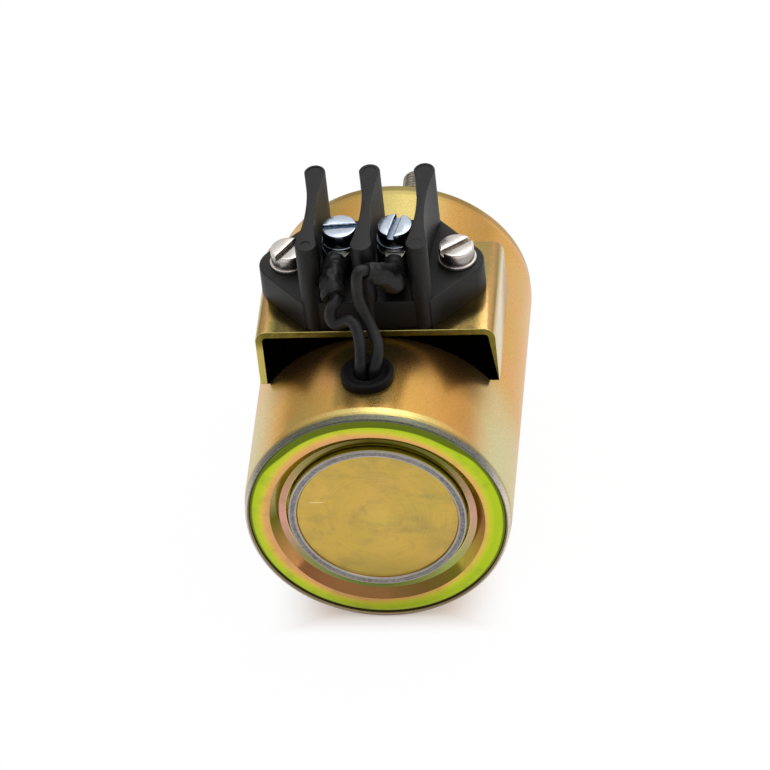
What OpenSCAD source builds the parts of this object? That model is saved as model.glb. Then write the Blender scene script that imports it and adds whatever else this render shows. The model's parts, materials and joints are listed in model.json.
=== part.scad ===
// Push pull solenoid: a closed tubular case with a sliding plunger and push rod,
// a saddle bracket welded on top and a two-way screw terminal block on the bracket.
// Y runs along the rod and out of the front, Z is up through the terminal block, X is across.
// The origin is on the axis, in the plane of the front mounting face. Sizes are millimetres.

/* [Case] */
// Outside diameter of the drawn steel case
case_d = 50.8; // [50.6:0.1:51.2]
// Length of the case, from lip to lip
case_l = 69; // [68.5:0.1:75]
// Wall of the case
case_wall = 1.5; // [1.3:0.1:1.5]
// Height of the front lip over its end plate; the rear plate is flush with its lip
lip_h = 0.7; // [0.5:0.1:1]
// Width of each turned-in lip
lip_w = 1.2; // [1.15:0.05:1.3]
// Length of the slightly tapered shoulder behind each lip
shoulder_l = 3.1; // [2:0.1:4]

/* [End plates] */
// Thickness of the rear end plate
rear_plate_t = 3.2; // [2.8:0.1:3.6]
// Depth of the dished ring in the rear end plate
dish_depth = 1.5; // [1:0.1:1.8]
// How far the outer edge of the rear plate slopes in under its lip
edge_drop = 0.5; // [0.2:0.1:0.6]
// Thickness of the front end plate under its lip
front_plate_t = 5; // [4.5:0.1:5.5]
// Diameter of the raised mounting pad on the front plate
pad_d = 38; // [36:1:42]
// How far the mounting pad stands out past the front lip
pad_h = 1; // [0.5:0.1:2]
// Distance between the two tapped mounting holes
hole_spacing = 30; // [26:1:31]
// Drilled diameter of the M5 mounting holes
hole_d = 4.2; // [4:0.1:4.4]
// Depth of the mounting holes
hole_depth = 5.6; // [4:0.1:5.6]
// Diameter of the pilot hub round the rod
pilot_d = 14; // [12:0.5:16]
// Length of the pilot hub
pilot_l = 3; // [2:0.5:4]

/* [Magnet parts] */
// Diameter of the pole piece's boss in the rear face
boss_d = 34; // [32:0.2:34.4]
// Diameter of the shallow recess in the boss
boss_recess_d = 30.4; // [28:0.2:31]
// Diameter of the plunger
plunger_d = 19.84; // [19.8:0.01:19.9]
// Length of the plunger
plunger_l = 22.3; // [20:0.1:24]
// Working stroke of the plunger
stroke = 15; // [10:0.5:16]
// Inside diameter of the brass guide tube
guide_d = 20; // [20:0.01:20.05]
// Outside diameter of the wound coil
winding_d = 41.6; // [36:0.2:42]

/* [Push rod] */
// Diameter of the push rod
rod_d = 5; // [4.8:0.1:5]
// How far the rod's tip stands out from the mounting face at rest
rod_out = 32; // [28:1:36]
// Length of the threaded end of the rod
thread_l = 10.5; // [8:0.5:12]

/* [Saddle bracket] */
// Width of the bracket over its legs
bracket_w = 45.8; // [45:0.2:46.4]
// Length of the bracket along the case
bracket_l = 26; // [24:0.5:28]
// Thickness of the bracket's sheet
bracket_t = 1.5; // [1.2:0.1:1.6]
// Height of the bracket's top face above the axis
bracket_z = 26.95; // [26.95:0.05:29]

/* [Terminal block] */
// Height of the block's base and ears
base_h = 6.4; // [6:0.1:7]
// Height of the barrier fins above the bracket
fin_h = 19.7; // [17:0.1:22]
// Distance between neighbouring fins
fin_pitch = 10.45; // [10.2:0.05:11]
// Diameter of the round posts at a fin's ends
fin_post_d = 4.1; // [3.8:0.1:4.2]
// Thickness of a fin at its waist
fin_waist = 1.6; // [1.2:0.1:2.4]
// Distance between the two ear screws
ear_spacing = 32.1; // [31.6:0.1:32.4]
// Distance from the middle of the block to the centre of an ear's round end
ear_reach = 16.45; // [16:0.05:16.7]
// Radius of the round end of an ear
ear_r = 5; // [4.4:0.1:5.2]

/* [Leads] */
// Outside diameter of a lead wire
wire_d = 2.3; // [2:0.1:2.3]
// Outside diameter of the grommet's flange
grommet_d = 10; // [9.4:0.1:10.4]

/* [Hidden] */
$fn = 96;
case_r = case_d / 2;
bore_r = case_r - case_wall;
lip_r = case_r - lip_w;
lip_chamfer = 0.45;
crest_r = case_r - 0.25;         // the shoulders taper to this radius
crest_round = 0.5;
plate_r = bore_r + 0.5;          // end plates sit in a counterbore behind each lip
plate_gap = 0.05;                // the plates' side clearance in the counterbore

// Stations along Y
front_lip_y = -pad_h;
front_plate_y = front_lip_y - lip_h;
front_inner_y = front_plate_y - front_plate_t;
rear_lip_y = front_lip_y - case_l;
rear_plate_y = rear_lip_y;
rear_seat_y = rear_plate_y + edge_drop;
rear_inner_y = rear_plate_y + rear_plate_t;
pole_flange_t = 2.2;
coil_rear_y = rear_inner_y + pole_flange_t;
stop_washer_t = 1.5;
plunger_front_y = front_inner_y - stop_washer_t;
plunger_rear_y = plunger_front_y - plunger_l;
shim_t = 0.5;
landing_gap = 0.05;              // air left over the shim at the end of the stroke
pole_face_y = plunger_rear_y - stroke - landing_gap - shim_t;

// Rear plate and pole piece, radii
dish_floor_r = 18.8;
dish_top_r = 20.5;
plate_edge_r = 23;               // where the flat ring starts to slope
plate_bore_r = boss_d / 2 + 0.35;
boss_y = rear_plate_y + 0.3;
boss_recess = 0.5;

// Coil, radii
guide_wall = 0.7;
guide_r = guide_d / 2 + guide_wall;
bobbin_r = guide_r + 1.3;
bobbin_flange_r = 22.4;
bobbin_flange_t = 1.4;
tape_t = 0.5;

// Return spring and the bores that hold it
spring_wire_d = 1;
spring_mean_r = 2.9;
spring_bore_r = 3.7;
spring_turns = 11;
pole_bore_depth = 14;
seat_t = 1;
plunger_bore_depth = 9;
spring_rear_y = pole_face_y - pole_bore_depth;
seat_y = plunger_rear_y + plunger_bore_depth - seat_t;

// Push rod and its bush
bush_clearance = 0.05;
bush_r = 4.5;
rod_rear_y = plunger_rear_y + plunger_bore_depth + 2.5;
relief_w = 1.2;
tip_chamfer = 1;

// Bracket and block: centre of both along Y, block centre across X
saddle_y = -33.85;
block_x = -0.95;
leg_z = 14.1;
weld_l = 5;
bend_r = 0.7;
block_l = 25.7;
block_z = bracket_z;
base_z = block_z + base_h;
fin_z = block_z + fin_h;
fins_x = [for (i = [-1:1]) block_x + i * fin_pitch];
wells_x = [for (i = [-1, 1]) block_x + i * fin_pitch / 2];
ears_x = [for (i = [-1, 1]) block_x + i * ear_spacing / 2];
ear_hole_r = 2.5;
screw_shift = 0.4;               // the block sits this far to one side on its ear screws
screws_x = [for (x = ears_x) x + screw_shift];
post_y = block_l / 2 - fin_post_d / 2;
base_inset = 0.6;                // front and back walls sit behind the posts
insert_z = base_z + 3.4;         // top of the raised screw pads and their inserts
insert_r = 3.1;
pad_post_r = 3.9;

// Screw stacks: a flat washer, a ring tongue and a lock washer on each insert, a washer on each ear
screw_r = 1.95;
screw_hole_r = 2.1;
head_r = 3.3;
head_h = 2.7;
head_chamfer = 0.3;
slot_w = 1.1;
slot_d = 1.2;
tongue_t = 0.8;
washer_t = 0.8;
lock_t = 1.1;
lock_r = 3.65;
lock_split = 0.7;
tongue_r = 3.6;
washer_r = 3.8;
ear_washer_r = 3.7;
nut_af = 7;
nut_h = 2.2;
nut_chamfer_r = 3.3;             // circle left on the nut's faces by its chamfer
tongue_z = insert_z + washer_t;
lock_z = tongue_z + tongue_t;
terminal_slots = [4, 68];        // slot angles of the terminal screws
ear_slots = [58, 38];            // slot angles of the ear screws

// Grommet
grommet_pos = [-0.5, -58.2];
grommet_neck_r = 3.5;
grommet_bore_r = 2.4;
grommet_top = 1.7;
grommet_edge = 0.5;
grommet_gap = 0.08;              // between the rubber and the case's wall

// Leads: each route runs from just past its crimp barrel, out of the sleeve, to the coil
left_barrel = [[-6.85, -39.1, 37.5], [-7.2, -41.65, 37.75]];
right_barrel = [[4.2, -39.1, 37.4], [4.3, -41.05, 37.4]];
left_lead = [
    [-7.2, -42.05, 37.8], [-7.1, -43.8, 38.1], [-7.3, -46.4, 38.4], [-6.7, -48, 37.5],
    [-6, -49.1, 36.9], [-6.9, -50.5, 36.1], [-7.3, -51.4, 34.4], [-6.4, -51.8, 32.9],
    [-4.5, -52, 33.9], [-2.9, -52.8, 34.6], [-1.9, -54.3, 33], [-1.4, -56.5, 30.9],
    [-1.5, -57.9, 28.5], [-1.7, -58.2, 26.5], [-1.7, -58.2, 24], [-1.7, -58.2, 21.4]
];
right_lead = [
    [4.3, -41.45, 37.4], [4.5, -43.3, 37.8], [4.1, -45.3, 39], [2.9, -47.1, 40.7],
    [1, -48.6, 42.9], [-0.7, -49.5, 44.2], [-1.5, -50.1, 43.3], [-1.7, -50.5, 41.1],
    [-1.7, -50.8, 38.4], [-0.9, -51.4, 35.7], [0.5, -53, 33.2], [1.6, -55.1, 31.3],
    [1.7, -56.8, 29.8], [1.1, -58, 27.8], [0.7, -58.2, 26], [0.7, -58.2, 21.4]
];
left_sleeve_r = [2.1, 2.2, 2.1, 2.1, 2.2];      // at the lead's first points
right_sleeve_r = [2.3, 2.5, 2.5, 2.3, 2.0, 2.0];
sleeve_start_r = 2.05;           // over the barrel
sleeve_gap = 0.15;
sleeve_flare = 0.5;              // extra radius of the bore where the lead comes out
barrel_r = 1.5;
neck_w = [4.2, 3.2];             // width of a tongue's neck at the ring and at the barrel
root_w = 2.3;                    // width of the part of the neck that runs into the barrel
lead_sides = 8;
sleeve_sides = 12;
route_steps = 3;

// ---- Shapes that several parts use ----

// A profile of [radius, y] points turned about the Y axis
module turned(profile) {
    rotate([-90, 0, 0]) rotate_extrude() polygon([for (p = profile) [p[0], p[1]]]);
}

// A solid cylinder along Y from y0 to y1
module y_rod(r, y0, y1) {
    translate([0, y0, 0]) rotate([-90, 0, 0]) cylinder(r = r, h = y1 - y0);
}

// A tube along Y
module y_tube(outer, inner, y0, y1) {
    difference() {
        y_rod(outer, y0, y1);
        y_rod(inner, y0 - 1, y1 + 1);
    }
}

// A solid cylinder between two points
module rod_between(p, q, r) {
    v = q - p;
    translate(p)
        rotate([0, acos(v[2] / norm(v)), atan2(v[1], v[0])])
            cylinder(r = r, h = norm(v), $fn = 48);
}

// Points of a quarter round in [radius, y], from one angle to another
function round_points(cr, cy, r, a0, a1, n = 5) =
    [for (i = [0:n]) let (a = a0 + (a1 - a0) * i / n) [cr + r * cos(a), cy + r * sin(a)]];

function unit(v) = v / norm(v);

// A route smoothed by a Catmull-Rom curve, with route_steps rings between its points
function at(route, i) = route[max(0, min(len(route) - 1, i))];
function curve(a, b, c, d, t) =
    0.5 * (2 * b + (c - a) * t + (2 * a - 5 * b + 4 * c - d) * t * t
        + (3 * b - a - 3 * c + d) * t * t * t);
function smooth(route, steps = route_steps) = [
    for (i = [0:len(route) - 2], k = [0:steps - 1])
        curve(at(route, i - 1), at(route, i), at(route, i + 1), at(route, i + 2), k / steps),
    route[len(route) - 1]
];

// A vector square to the route, carried along it from ring to ring without twist
function heading(route, i) = unit(at(route, i + 1) - at(route, i - 1));
function square_to(v, dir) = unit(v - (v * dir) * dir);
function side_vectors(route, start, i = 0) =
    i == len(route) ? []
    : let (s = square_to(start, heading(route, i))) concat([s], side_vectors(route, s, i + 1));

// A round bar of changing radius swept along a list of rings
module swept(route, radii, sides, start = [0.1, 0.05, 1]) {
    n = len(route);
    side = side_vectors(route, start);
    points = [
        for (i = [0:n - 1], k = [0:sides - 1])
            let (a = 360 * k / sides, up = cross(heading(route, i), side[i]))
                route[i] + radii[i] * (cos(a) * side[i] + sin(a) * up)
    ];
    walls = [
        for (i = [0:n - 2], k = [0:sides - 1])
            let (a = i * sides + k, b = i * sides + (k + 1) % sides)
                each [[a, a + sides, b], [b, a + sides, b + sides]]
    ];
    near_cap = [for (k = [0:sides - 1]) k];
    far_cap = [for (k = [sides - 1:-1:0]) (n - 1) * sides + k];
    polyhedron(points, concat(walls, [near_cap, far_cap]), convexity = 6);
}

// The same list with a ring more at each end, e further out along the route
function drawn_out(route, e) = let (last = len(route) - 1) concat(
    [route[0] - e * heading(route, 0)], route, [route[last] + e * heading(route, last)]);

// ---- Case and end plates ----

module case_tube() color("goldenrod") difference() {
    turned(concat(
        [[lip_r, rear_seat_y], [lip_r + lip_chamfer, rear_lip_y]],
        round_points(crest_r - crest_round, rear_lip_y + crest_round, crest_round, 270, 355),
        [[case_r, rear_lip_y + shoulder_l], [case_r, front_lip_y - shoulder_l]],
        round_points(crest_r - crest_round, front_lip_y - crest_round, crest_round, 5, 90),
        [[lip_r + lip_chamfer, front_lip_y], [lip_r, front_lip_y - lip_chamfer],
         [lip_r, front_plate_y],
         [plate_r, front_plate_y], [plate_r, front_inner_y], [bore_r, front_inner_y],
         [bore_r, rear_inner_y], [plate_r, rear_inner_y], [plate_r, rear_seat_y]]
    ));
    translate([grommet_pos[0], grommet_pos[1], case_r / 2]) cylinder(r = grommet_neck_r, h = case_r);
}

module rear_end_plate() color("darkkhaki") turned([
    [plate_bore_r, rear_inner_y], [plate_bore_r, rear_plate_y + dish_depth],
    [dish_floor_r, rear_plate_y + dish_depth], [dish_top_r, rear_plate_y],
    [plate_edge_r, rear_plate_y], [lip_r, rear_seat_y],
    [plate_r - plate_gap, rear_seat_y], [plate_r - plate_gap, rear_inner_y]
]);

module front_end_plate() color("darkkhaki") difference() {
    turned([
        [bush_r, front_inner_y], [plate_r - plate_gap, front_inner_y],
        [plate_r - plate_gap, front_plate_y], [pad_d / 2, front_plate_y],
        [pad_d / 2, -0.5], [pad_d / 2 - 0.5, 0], [pilot_d / 2, 0],
        [pilot_d / 2, pilot_l - 0.5], [pilot_d / 2 - 0.5, pilot_l], [bush_r, pilot_l]
    ]);
    for (x = [-1, 1] * hole_spacing / 2)
        translate([x, 0, 0]) y_rod(hole_d / 2, -hole_depth, 1);
}

module front_bush() color("peru") turned([
    [rod_d / 2 + bush_clearance, front_inner_y], [bush_r, front_inner_y], [bush_r, pilot_l - 0.4],
    [bush_r - 0.4, pilot_l], [rod_d / 2 + bush_clearance + 0.4, pilot_l],
    [rod_d / 2 + bush_clearance, pilot_l - 0.4]
]);

// ---- Pole piece and coil ----

module pole_piece() color("gold") turned([
    [0, boss_y + boss_recess], [boss_recess_d / 2, boss_y + boss_recess],
    [boss_recess_d / 2 + 0.3, boss_y], [boss_d / 2 - 0.3, boss_y], [boss_d / 2, boss_y + 0.3],
    [boss_d / 2, rear_inner_y], [bore_r - 0.1, rear_inner_y], [bore_r - 0.1, coil_rear_y],
    [guide_d / 2 - 0.05, coil_rear_y], [guide_d / 2 - 0.05, pole_face_y - 0.5],
    [guide_d / 2 - 0.55, pole_face_y], [spring_bore_r, pole_face_y],
    [spring_bore_r, spring_rear_y], [0, spring_rear_y]
]);

module guide_tube() color("burlywood")
    y_tube(guide_r, guide_d / 2, coil_rear_y, front_inner_y);

module coil_bobbin() color("ivory") turned([
    [guide_r + 0.05, coil_rear_y], [bobbin_flange_r, coil_rear_y],
    [bobbin_flange_r, coil_rear_y + bobbin_flange_t], [bobbin_r, coil_rear_y + bobbin_flange_t],
    [bobbin_r, front_inner_y - bobbin_flange_t], [bobbin_flange_r, front_inner_y - bobbin_flange_t],
    [bobbin_flange_r, front_inner_y], [guide_r + 0.05, front_inner_y]
]);

module coil_winding() color("chocolate")
    y_tube(winding_d / 2, bobbin_r, coil_rear_y + bobbin_flange_t, front_inner_y - bobbin_flange_t);

module coil_tape() color("khaki")
    y_tube(winding_d / 2 + tape_t, winding_d / 2,
        coil_rear_y + bobbin_flange_t, front_inner_y - bobbin_flange_t);

module shim_washer() color("tan")
    y_tube(guide_d / 2 - 0.6, spring_bore_r, pole_face_y, pole_face_y + shim_t);

module stop_washer() color("dimgray")
    y_tube(8, rod_d / 2 + 0.4, plunger_front_y, front_inner_y);

// ---- What slides ----

// A compression spring with closed ends: the pitch is one wire at each end and wider between
function spring_y(t) =
    let (free = seat_y - spring_rear_y - 3 * spring_wire_d,
         lead = min(1, t * spring_turns), tail = max(0, t * spring_turns - spring_turns + 1),
         mid = (t * spring_turns - lead - tail) / (spring_turns - 2))
    spring_rear_y + spring_wire_d * (0.5 + lead + tail) + free * mid;
module return_spring() color("lightsteelblue") {
    n = spring_turns * 14;
    route = [
        for (i = [0:n]) let (a = 360 * i / 14)
            [spring_mean_r * cos(a), spring_y(i / n), spring_mean_r * sin(a)]
    ];
    swept(route, [for (i = [0:n]) spring_wire_d / 2 - 0.02], lead_sides);
}

module spring_seat() color("slategray")
    y_tube(spring_bore_r - 0.1, 1, seat_y, seat_y + seat_t);

module plunger() color("silver") turned([
    [spring_bore_r, plunger_rear_y], [plunger_d / 2 - 0.6, plunger_rear_y],
    [plunger_d / 2, plunger_rear_y + 0.6], [plunger_d / 2, plunger_front_y - 0.6],
    [plunger_d / 2 - 0.6, plunger_front_y], [rod_d / 2, plunger_front_y],
    [rod_d / 2, rod_rear_y], [0, rod_rear_y], [0, plunger_rear_y + plunger_bore_depth],
    [spring_bore_r, plunger_rear_y + plunger_bore_depth]
]);

module push_rod() color("gainsboro") turned([
    [0, rod_rear_y], [rod_d / 2, rod_rear_y], [rod_d / 2, rod_out - thread_l - relief_w - tip_chamfer],
    [rod_d / 2 - 0.5, rod_out - thread_l - relief_w - tip_chamfer + 0.3],
    [rod_d / 2 - 0.5, rod_out - thread_l - tip_chamfer - 0.3], [rod_d / 2, rod_out - thread_l - tip_chamfer],
    [rod_d / 2, rod_out - tip_chamfer], [rod_d / 2 - tip_chamfer, rod_out], [0, rod_out]
]);

// ---- Saddle bracket ----

// The bent sheet's outline across the case, with round bends
module saddle_outline() {
    w = bracket_w / 2;
    outer = bend_r + bracket_t;
    difference() {
        union() {
            translate([-w, leg_z]) square([2 * w, bracket_z - leg_z - outer]);
            translate([-w + outer, bracket_z - outer - 1]) square([2 * w - 2 * outer, outer + 1]);
            for (s = [-1, 1]) translate([s * (w - outer), bracket_z - outer]) circle(r = outer);
        }
        translate([-w + bracket_t, leg_z - 1])
            square([2 * w - 2 * bracket_t, bracket_z - leg_z - outer + 1]);
        translate([-w + outer, bracket_z - outer - 1])
            square([2 * w - 2 * outer, outer - bracket_t + 1]);
        for (s = [-1, 1]) translate([s * (w - outer), bracket_z - outer]) circle(r = bend_r);
    }
}

module saddle_bracket() color("darkgoldenrod") difference() {
    translate([0, saddle_y + bracket_l / 2, 0]) rotate([90, 0, 0])
        linear_extrude(bracket_l) saddle_outline();
    for (x = screws_x) translate([x, saddle_y, bracket_z - 3]) cylinder(r = screw_hole_r, h = 4);
}

// Short fillet welds in the wedge between the inside of each leg and the case
module bracket_welds() color("darkgoldenrod") difference() {
    for (s = [0, 1], y = [-8, 8]) mirror([s, 0, 0])
        translate([bracket_w / 2 - bracket_t - 0.02, saddle_y + y + weld_l / 2, leg_z])
            rotate([90, 0, 0]) linear_extrude(weld_l)
                polygon([[0, -1], [0, 1.6], [-0.7, 1.9], [-1.8, 2.2], [-2.2, 1]]);
    y_rod(case_r + 0.05, saddle_y - bracket_l, saddle_y + bracket_l);
}

// ---- Terminal block ----

// The point where a line from p touches a circle of radius r about c, on the side of s
function tangent(p, c, r, s) =
    let (v = p - c, d = norm(v), a = atan2(v[1], v[0]) + s * acos(r / d))
    c + r * [cos(a), sin(a)];

// Base outline: a body between the outer fins and a round-ended ear on each side
module base_outline() {
    half_w = fin_pitch + fin_post_d / 2;
    half_l = block_l / 2 - base_inset;
    square([2 * half_w - fin_post_d, 2 * half_l], center = true);
    for (s = [-1, 1]) mirror([s < 0 ? 1 : 0, 0]) {
        ear = [ear_reach, 0];
        back = [half_w - 0.4, half_l - 0.4];
        front = [half_w - 0.4, 0.4 - half_l];
        translate(ear) circle(r = ear_r);
        polygon([[0, half_l - 0.4], back, tangent(back, ear, ear_r, -1), ear,
            tangent(front, ear, ear_r, 1), front, [0, 0.4 - half_l]]);
    }
}

// Fin outline: a round post at each end and two hollow-ground sides
module fin_outline() {
    sag = (fin_post_d - fin_waist) / 2;
    hollow_r = (post_y * post_y + sag * sag) / (2 * sag);
    for (s = [-1, 1]) translate([0, s * post_y]) circle(d = fin_post_d);
    difference() {
        square([fin_post_d, 2 * post_y], center = true);
        for (s = [-1, 1]) translate([s * (fin_waist / 2 + hollow_r), 0]) circle(r = hollow_r, $fn = 192);
    }
}

module terminal_block() color("dimgray") difference() {
    union() {
        translate([block_x, saddle_y, block_z]) linear_extrude(base_h) base_outline();
        for (x = fins_x) translate([x, saddle_y, block_z]) linear_extrude(fin_h) fin_outline();
        for (x = wells_x) translate([x, saddle_y, base_z - 0.5])
            cylinder(r = pad_post_r, h = insert_z - base_z + 0.5);
    }
    for (x = wells_x) translate([x, saddle_y, block_z - 1]) cylinder(r = insert_r, h = fin_h);
    for (x = ears_x) translate([x, saddle_y, block_z - 1]) cylinder(r = ear_hole_r, h = base_h + 2);
}

module terminal_inserts() color("peru") for (x = wells_x) translate([x, saddle_y, block_z])
    difference() {
        cylinder(r = insert_r, h = insert_z - block_z);
        translate([0, 0, -1]) cylinder(r = screw_hole_r, h = insert_z - block_z + 2);
    }

// ---- Screws, washers and nuts ----

// A slotted cheese-head screw whose head sits on z = 0
module slotted_screw(shank_l, slot_angle) {
    difference() {
        union() {
            cylinder(r = head_r, h = head_h - head_chamfer);
            translate([0, 0, head_h - head_chamfer])
                cylinder(r1 = head_r, r2 = head_r - head_chamfer, h = head_chamfer);
        }
        rotate(slot_angle) translate([-head_r - 1, -slot_w / 2, head_h - slot_d])
            cube([2 * head_r + 2, slot_w, slot_d + 1]);
    }
    translate([0, 0, -shank_l]) cylinder(r = screw_r, h = shank_l + 0.01);
}

module washer(outer, t) difference() {
    cylinder(r = outer, h = t);
    translate([0, 0, -1]) cylinder(r = screw_hole_r, h = t + 2);
}

module terminal_screws() color("lightsteelblue") for (i = [0, 1])
    translate([wells_x[i], saddle_y, lock_z + lock_t]) slotted_screw(9, terminal_slots[i]);

module lock_washers() color("silver") for (i = [0, 1])
    translate([wells_x[i], saddle_y, lock_z]) difference() {
        washer(lock_r, lock_t);
        rotate(-50) rotate([-20, 0, 0]) translate([0, -lock_split / 2, -2]) cube([5, lock_split, 6]);
    }

module flat_washers() color("silver") for (x = wells_x)
    translate([x, saddle_y, insert_z]) washer(washer_r, washer_t);

module ear_screws() color("gainsboro") for (i = [0, 1])
    translate([screws_x[i], saddle_y, base_z + washer_t]) slotted_screw(12, ear_slots[i]);

module ear_washers() color("silver") for (x = screws_x)
    translate([x, saddle_y, base_z]) washer(ear_washer_r, washer_t);

module ear_nuts() color("gainsboro") for (x = screws_x)
    translate([x, saddle_y, bracket_z - bracket_t - nut_h]) difference() {
        intersection() {
            rotate(30) cylinder(r = nut_af / sqrt(3), h = nut_h, $fn = 6);
            union() {
                cylinder(r1 = nut_chamfer_r, r2 = nut_chamfer_r + nut_h * 0.85, h = nut_h / 2);
                translate([0, 0, nut_h / 2])
                    cylinder(r1 = nut_chamfer_r + nut_h * 0.85, r2 = nut_chamfer_r, h = nut_h / 2);
            }
        }
        translate([0, 0, -1]) cylinder(r = screw_hole_r, h = nut_h + 2);
    }

// ---- Leads ----

// A ring tongue under the screw, its neck and the crimp barrel
module ring_terminal(x, barrel) {
    root = [barrel[0][0], barrel[0][1] + 0.4];
    difference() {
        union() {
            translate([x, saddle_y, tongue_z]) cylinder(r = tongue_r, h = tongue_t);
            translate([0, 0, tongue_z]) linear_extrude(tongue_t) {
                polygon([
                    [x - neck_w[0] / 2, saddle_y], [x + neck_w[0] / 2, saddle_y],
                    [root[0] + neck_w[1] / 2, root[1]], [root[0] - neck_w[1] / 2, root[1]]
                ]);
                translate([root[0] - root_w / 2, root[1] - 1]) square([root_w, 1.1]);
            }
            rod_between(barrel[0], barrel[1], barrel_r);
        }
        translate([x, saddle_y, tongue_z - 1]) cylinder(r = screw_hole_r, h = 5);
    }
}

module ring_terminal_left() color("palegoldenrod") ring_terminal(wells_x[0], left_barrel);
module ring_terminal_right() color("palegoldenrod") ring_terminal(wells_x[1], right_barrel);

// A shrunk sleeve: it starts on the barrel, follows the lead's own rings and ends in a wider mouth,
// two rings short of the point where the lead bends away
module sleeve(barrel, lead, radii) {
    rings = smooth(lead);
    last = len(radii) - 1;
    covered = last * route_steps - 2;
    along = concat([barrel[0]], [for (i = [0:covered]) rings[i]]);
    bore = concat([barrel_r], [for (i = [1:last - 1]) wire_d / 2], [wire_d / 2 + sleeve_flare]);
    difference() {
        swept(along, concat([sleeve_start_r], smooth(radii)), sleeve_sides);
        swept(drawn_out(along, 0.5), concat([barrel_r, barrel_r] + [sleeve_gap, sleeve_gap],
            [for (r = smooth(bore)) r + sleeve_gap]), sleeve_sides);
    }
}

module sleeve_left() color("black") sleeve(left_barrel, left_lead, left_sleeve_r);
module sleeve_right() color("black") sleeve(right_barrel, right_lead, right_sleeve_r);

module lead_wire(route) {
    rings = smooth(route);
    swept(rings, [for (p = rings) wire_d / 2], lead_sides);
}

module lead_wire_left() color("darkslategray") lead_wire(left_lead);
module lead_wire_right() color("darkslategray") lead_wire(right_lead);

// A rubber grommet: a flange outside the case, a neck through the wall and a flange inside
module lead_grommet() color("black") difference() {
    translate([grommet_pos[0], grommet_pos[1], 0]) {
        difference() {
            union() {
                translate([0, 0, case_r - 2])
                    cylinder(d = grommet_d, h = 2 + grommet_top - grommet_edge);
                translate([0, 0, case_r + grommet_top - grommet_edge])
                    cylinder(d1 = grommet_d, d2 = grommet_d - 2 * grommet_edge, h = grommet_edge);
            }
            translate([-grommet_pos[0], -grommet_pos[1], 0])
                y_rod(case_r + grommet_gap, rear_lip_y, front_lip_y);
        }
        intersection() {
            translate([0, 0, bore_r - 2]) cylinder(r = grommet_neck_r - grommet_gap, h = 4);
            translate([-grommet_pos[0], -grommet_pos[1], 0])
                y_rod(case_r + grommet_gap + 0.02, rear_lip_y, front_lip_y);
        }
        intersection() {
            translate([0, 0, bore_r - 3]) cylinder(r = grommet_neck_r + 0.7, h = 4);
            translate([-grommet_pos[0], -grommet_pos[1], 0])
                y_tube(bore_r - grommet_gap, bore_r - 1.1, rear_lip_y, front_lip_y);
        }
    }
    translate([grommet_pos[0], grommet_pos[1], 0]) cylinder(r = grommet_bore_r, h = case_r + 5);
}

case_tube();
rear_end_plate();
pole_piece();
front_end_plate();
front_bush();
guide_tube();
coil_bobbin();
coil_winding();
coil_tape();
shim_washer();
stop_washer();
return_spring();
spring_seat();
plunger();
push_rod();
saddle_bracket();
bracket_welds();
terminal_block();
terminal_inserts();
terminal_screws();
lock_washers();
flat_washers();
ear_screws();
ear_washers();
ear_nuts();
ring_terminal_left();
ring_terminal_right();
sleeve_left();
sleeve_right();
lead_grommet();
lead_wire_left();
lead_wire_right();
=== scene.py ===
import json
import math

import bmesh
import bpy
from mathutils import Matrix, Vector, noise


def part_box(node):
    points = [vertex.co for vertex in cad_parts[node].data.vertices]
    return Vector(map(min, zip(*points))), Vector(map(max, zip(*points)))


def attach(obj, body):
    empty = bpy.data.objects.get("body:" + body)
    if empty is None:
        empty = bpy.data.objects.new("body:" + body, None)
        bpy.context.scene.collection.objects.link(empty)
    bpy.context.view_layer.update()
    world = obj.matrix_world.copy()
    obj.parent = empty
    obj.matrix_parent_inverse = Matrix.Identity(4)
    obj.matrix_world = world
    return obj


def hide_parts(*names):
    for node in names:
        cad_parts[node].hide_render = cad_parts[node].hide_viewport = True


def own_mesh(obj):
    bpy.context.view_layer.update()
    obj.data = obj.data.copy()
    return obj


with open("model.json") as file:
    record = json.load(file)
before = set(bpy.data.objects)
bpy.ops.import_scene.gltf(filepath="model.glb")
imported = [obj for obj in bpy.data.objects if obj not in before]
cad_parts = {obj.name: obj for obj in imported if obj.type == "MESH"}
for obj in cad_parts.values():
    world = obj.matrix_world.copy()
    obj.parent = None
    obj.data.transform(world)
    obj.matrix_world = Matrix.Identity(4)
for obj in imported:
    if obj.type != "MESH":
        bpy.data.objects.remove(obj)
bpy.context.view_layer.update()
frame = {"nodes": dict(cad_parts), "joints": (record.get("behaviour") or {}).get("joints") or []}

MM = 0.001

# ---- Camera ----
# It stands behind and above the solenoid, a little to the right, with a long lens and a slight tilt.
case_low, case_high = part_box("case_tube")
yaw, pitch, roll = (math.radians(a) for a in (-8.63, 40.59, -6.61))
forward = Vector((math.sin(yaw) * math.cos(pitch), math.cos(yaw) * math.cos(pitch), -math.sin(pitch)))
level = Vector((math.cos(yaw), -math.sin(yaw), 0))
upright = level.cross(forward)
right = math.cos(roll) * level + math.sin(roll) * upright
up = math.cos(roll) * upright - math.sin(roll) * level
aim = Vector((4.42 * MM, case_low.y, 33.5 * MM))
stand = aim - 1143 * MM * forward

lens = bpy.data.cameras.new("camera")
lens.sensor_width = 36
lens.lens = 288.7
lens.clip_end = 20
camera = bpy.data.objects.new("camera", lens)
camera.matrix_world = Matrix((
    (right.x, up.x, -forward.x, stand.x),
    (right.y, up.y, -forward.y, stand.y),
    (right.z, up.z, -forward.z, stand.z),
    (0, 0, 0, 1)))
bpy.context.scene.collection.objects.link(camera)
bpy.context.scene.camera = camera
bpy.context.scene.view_settings.view_transform = "Standard"


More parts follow.
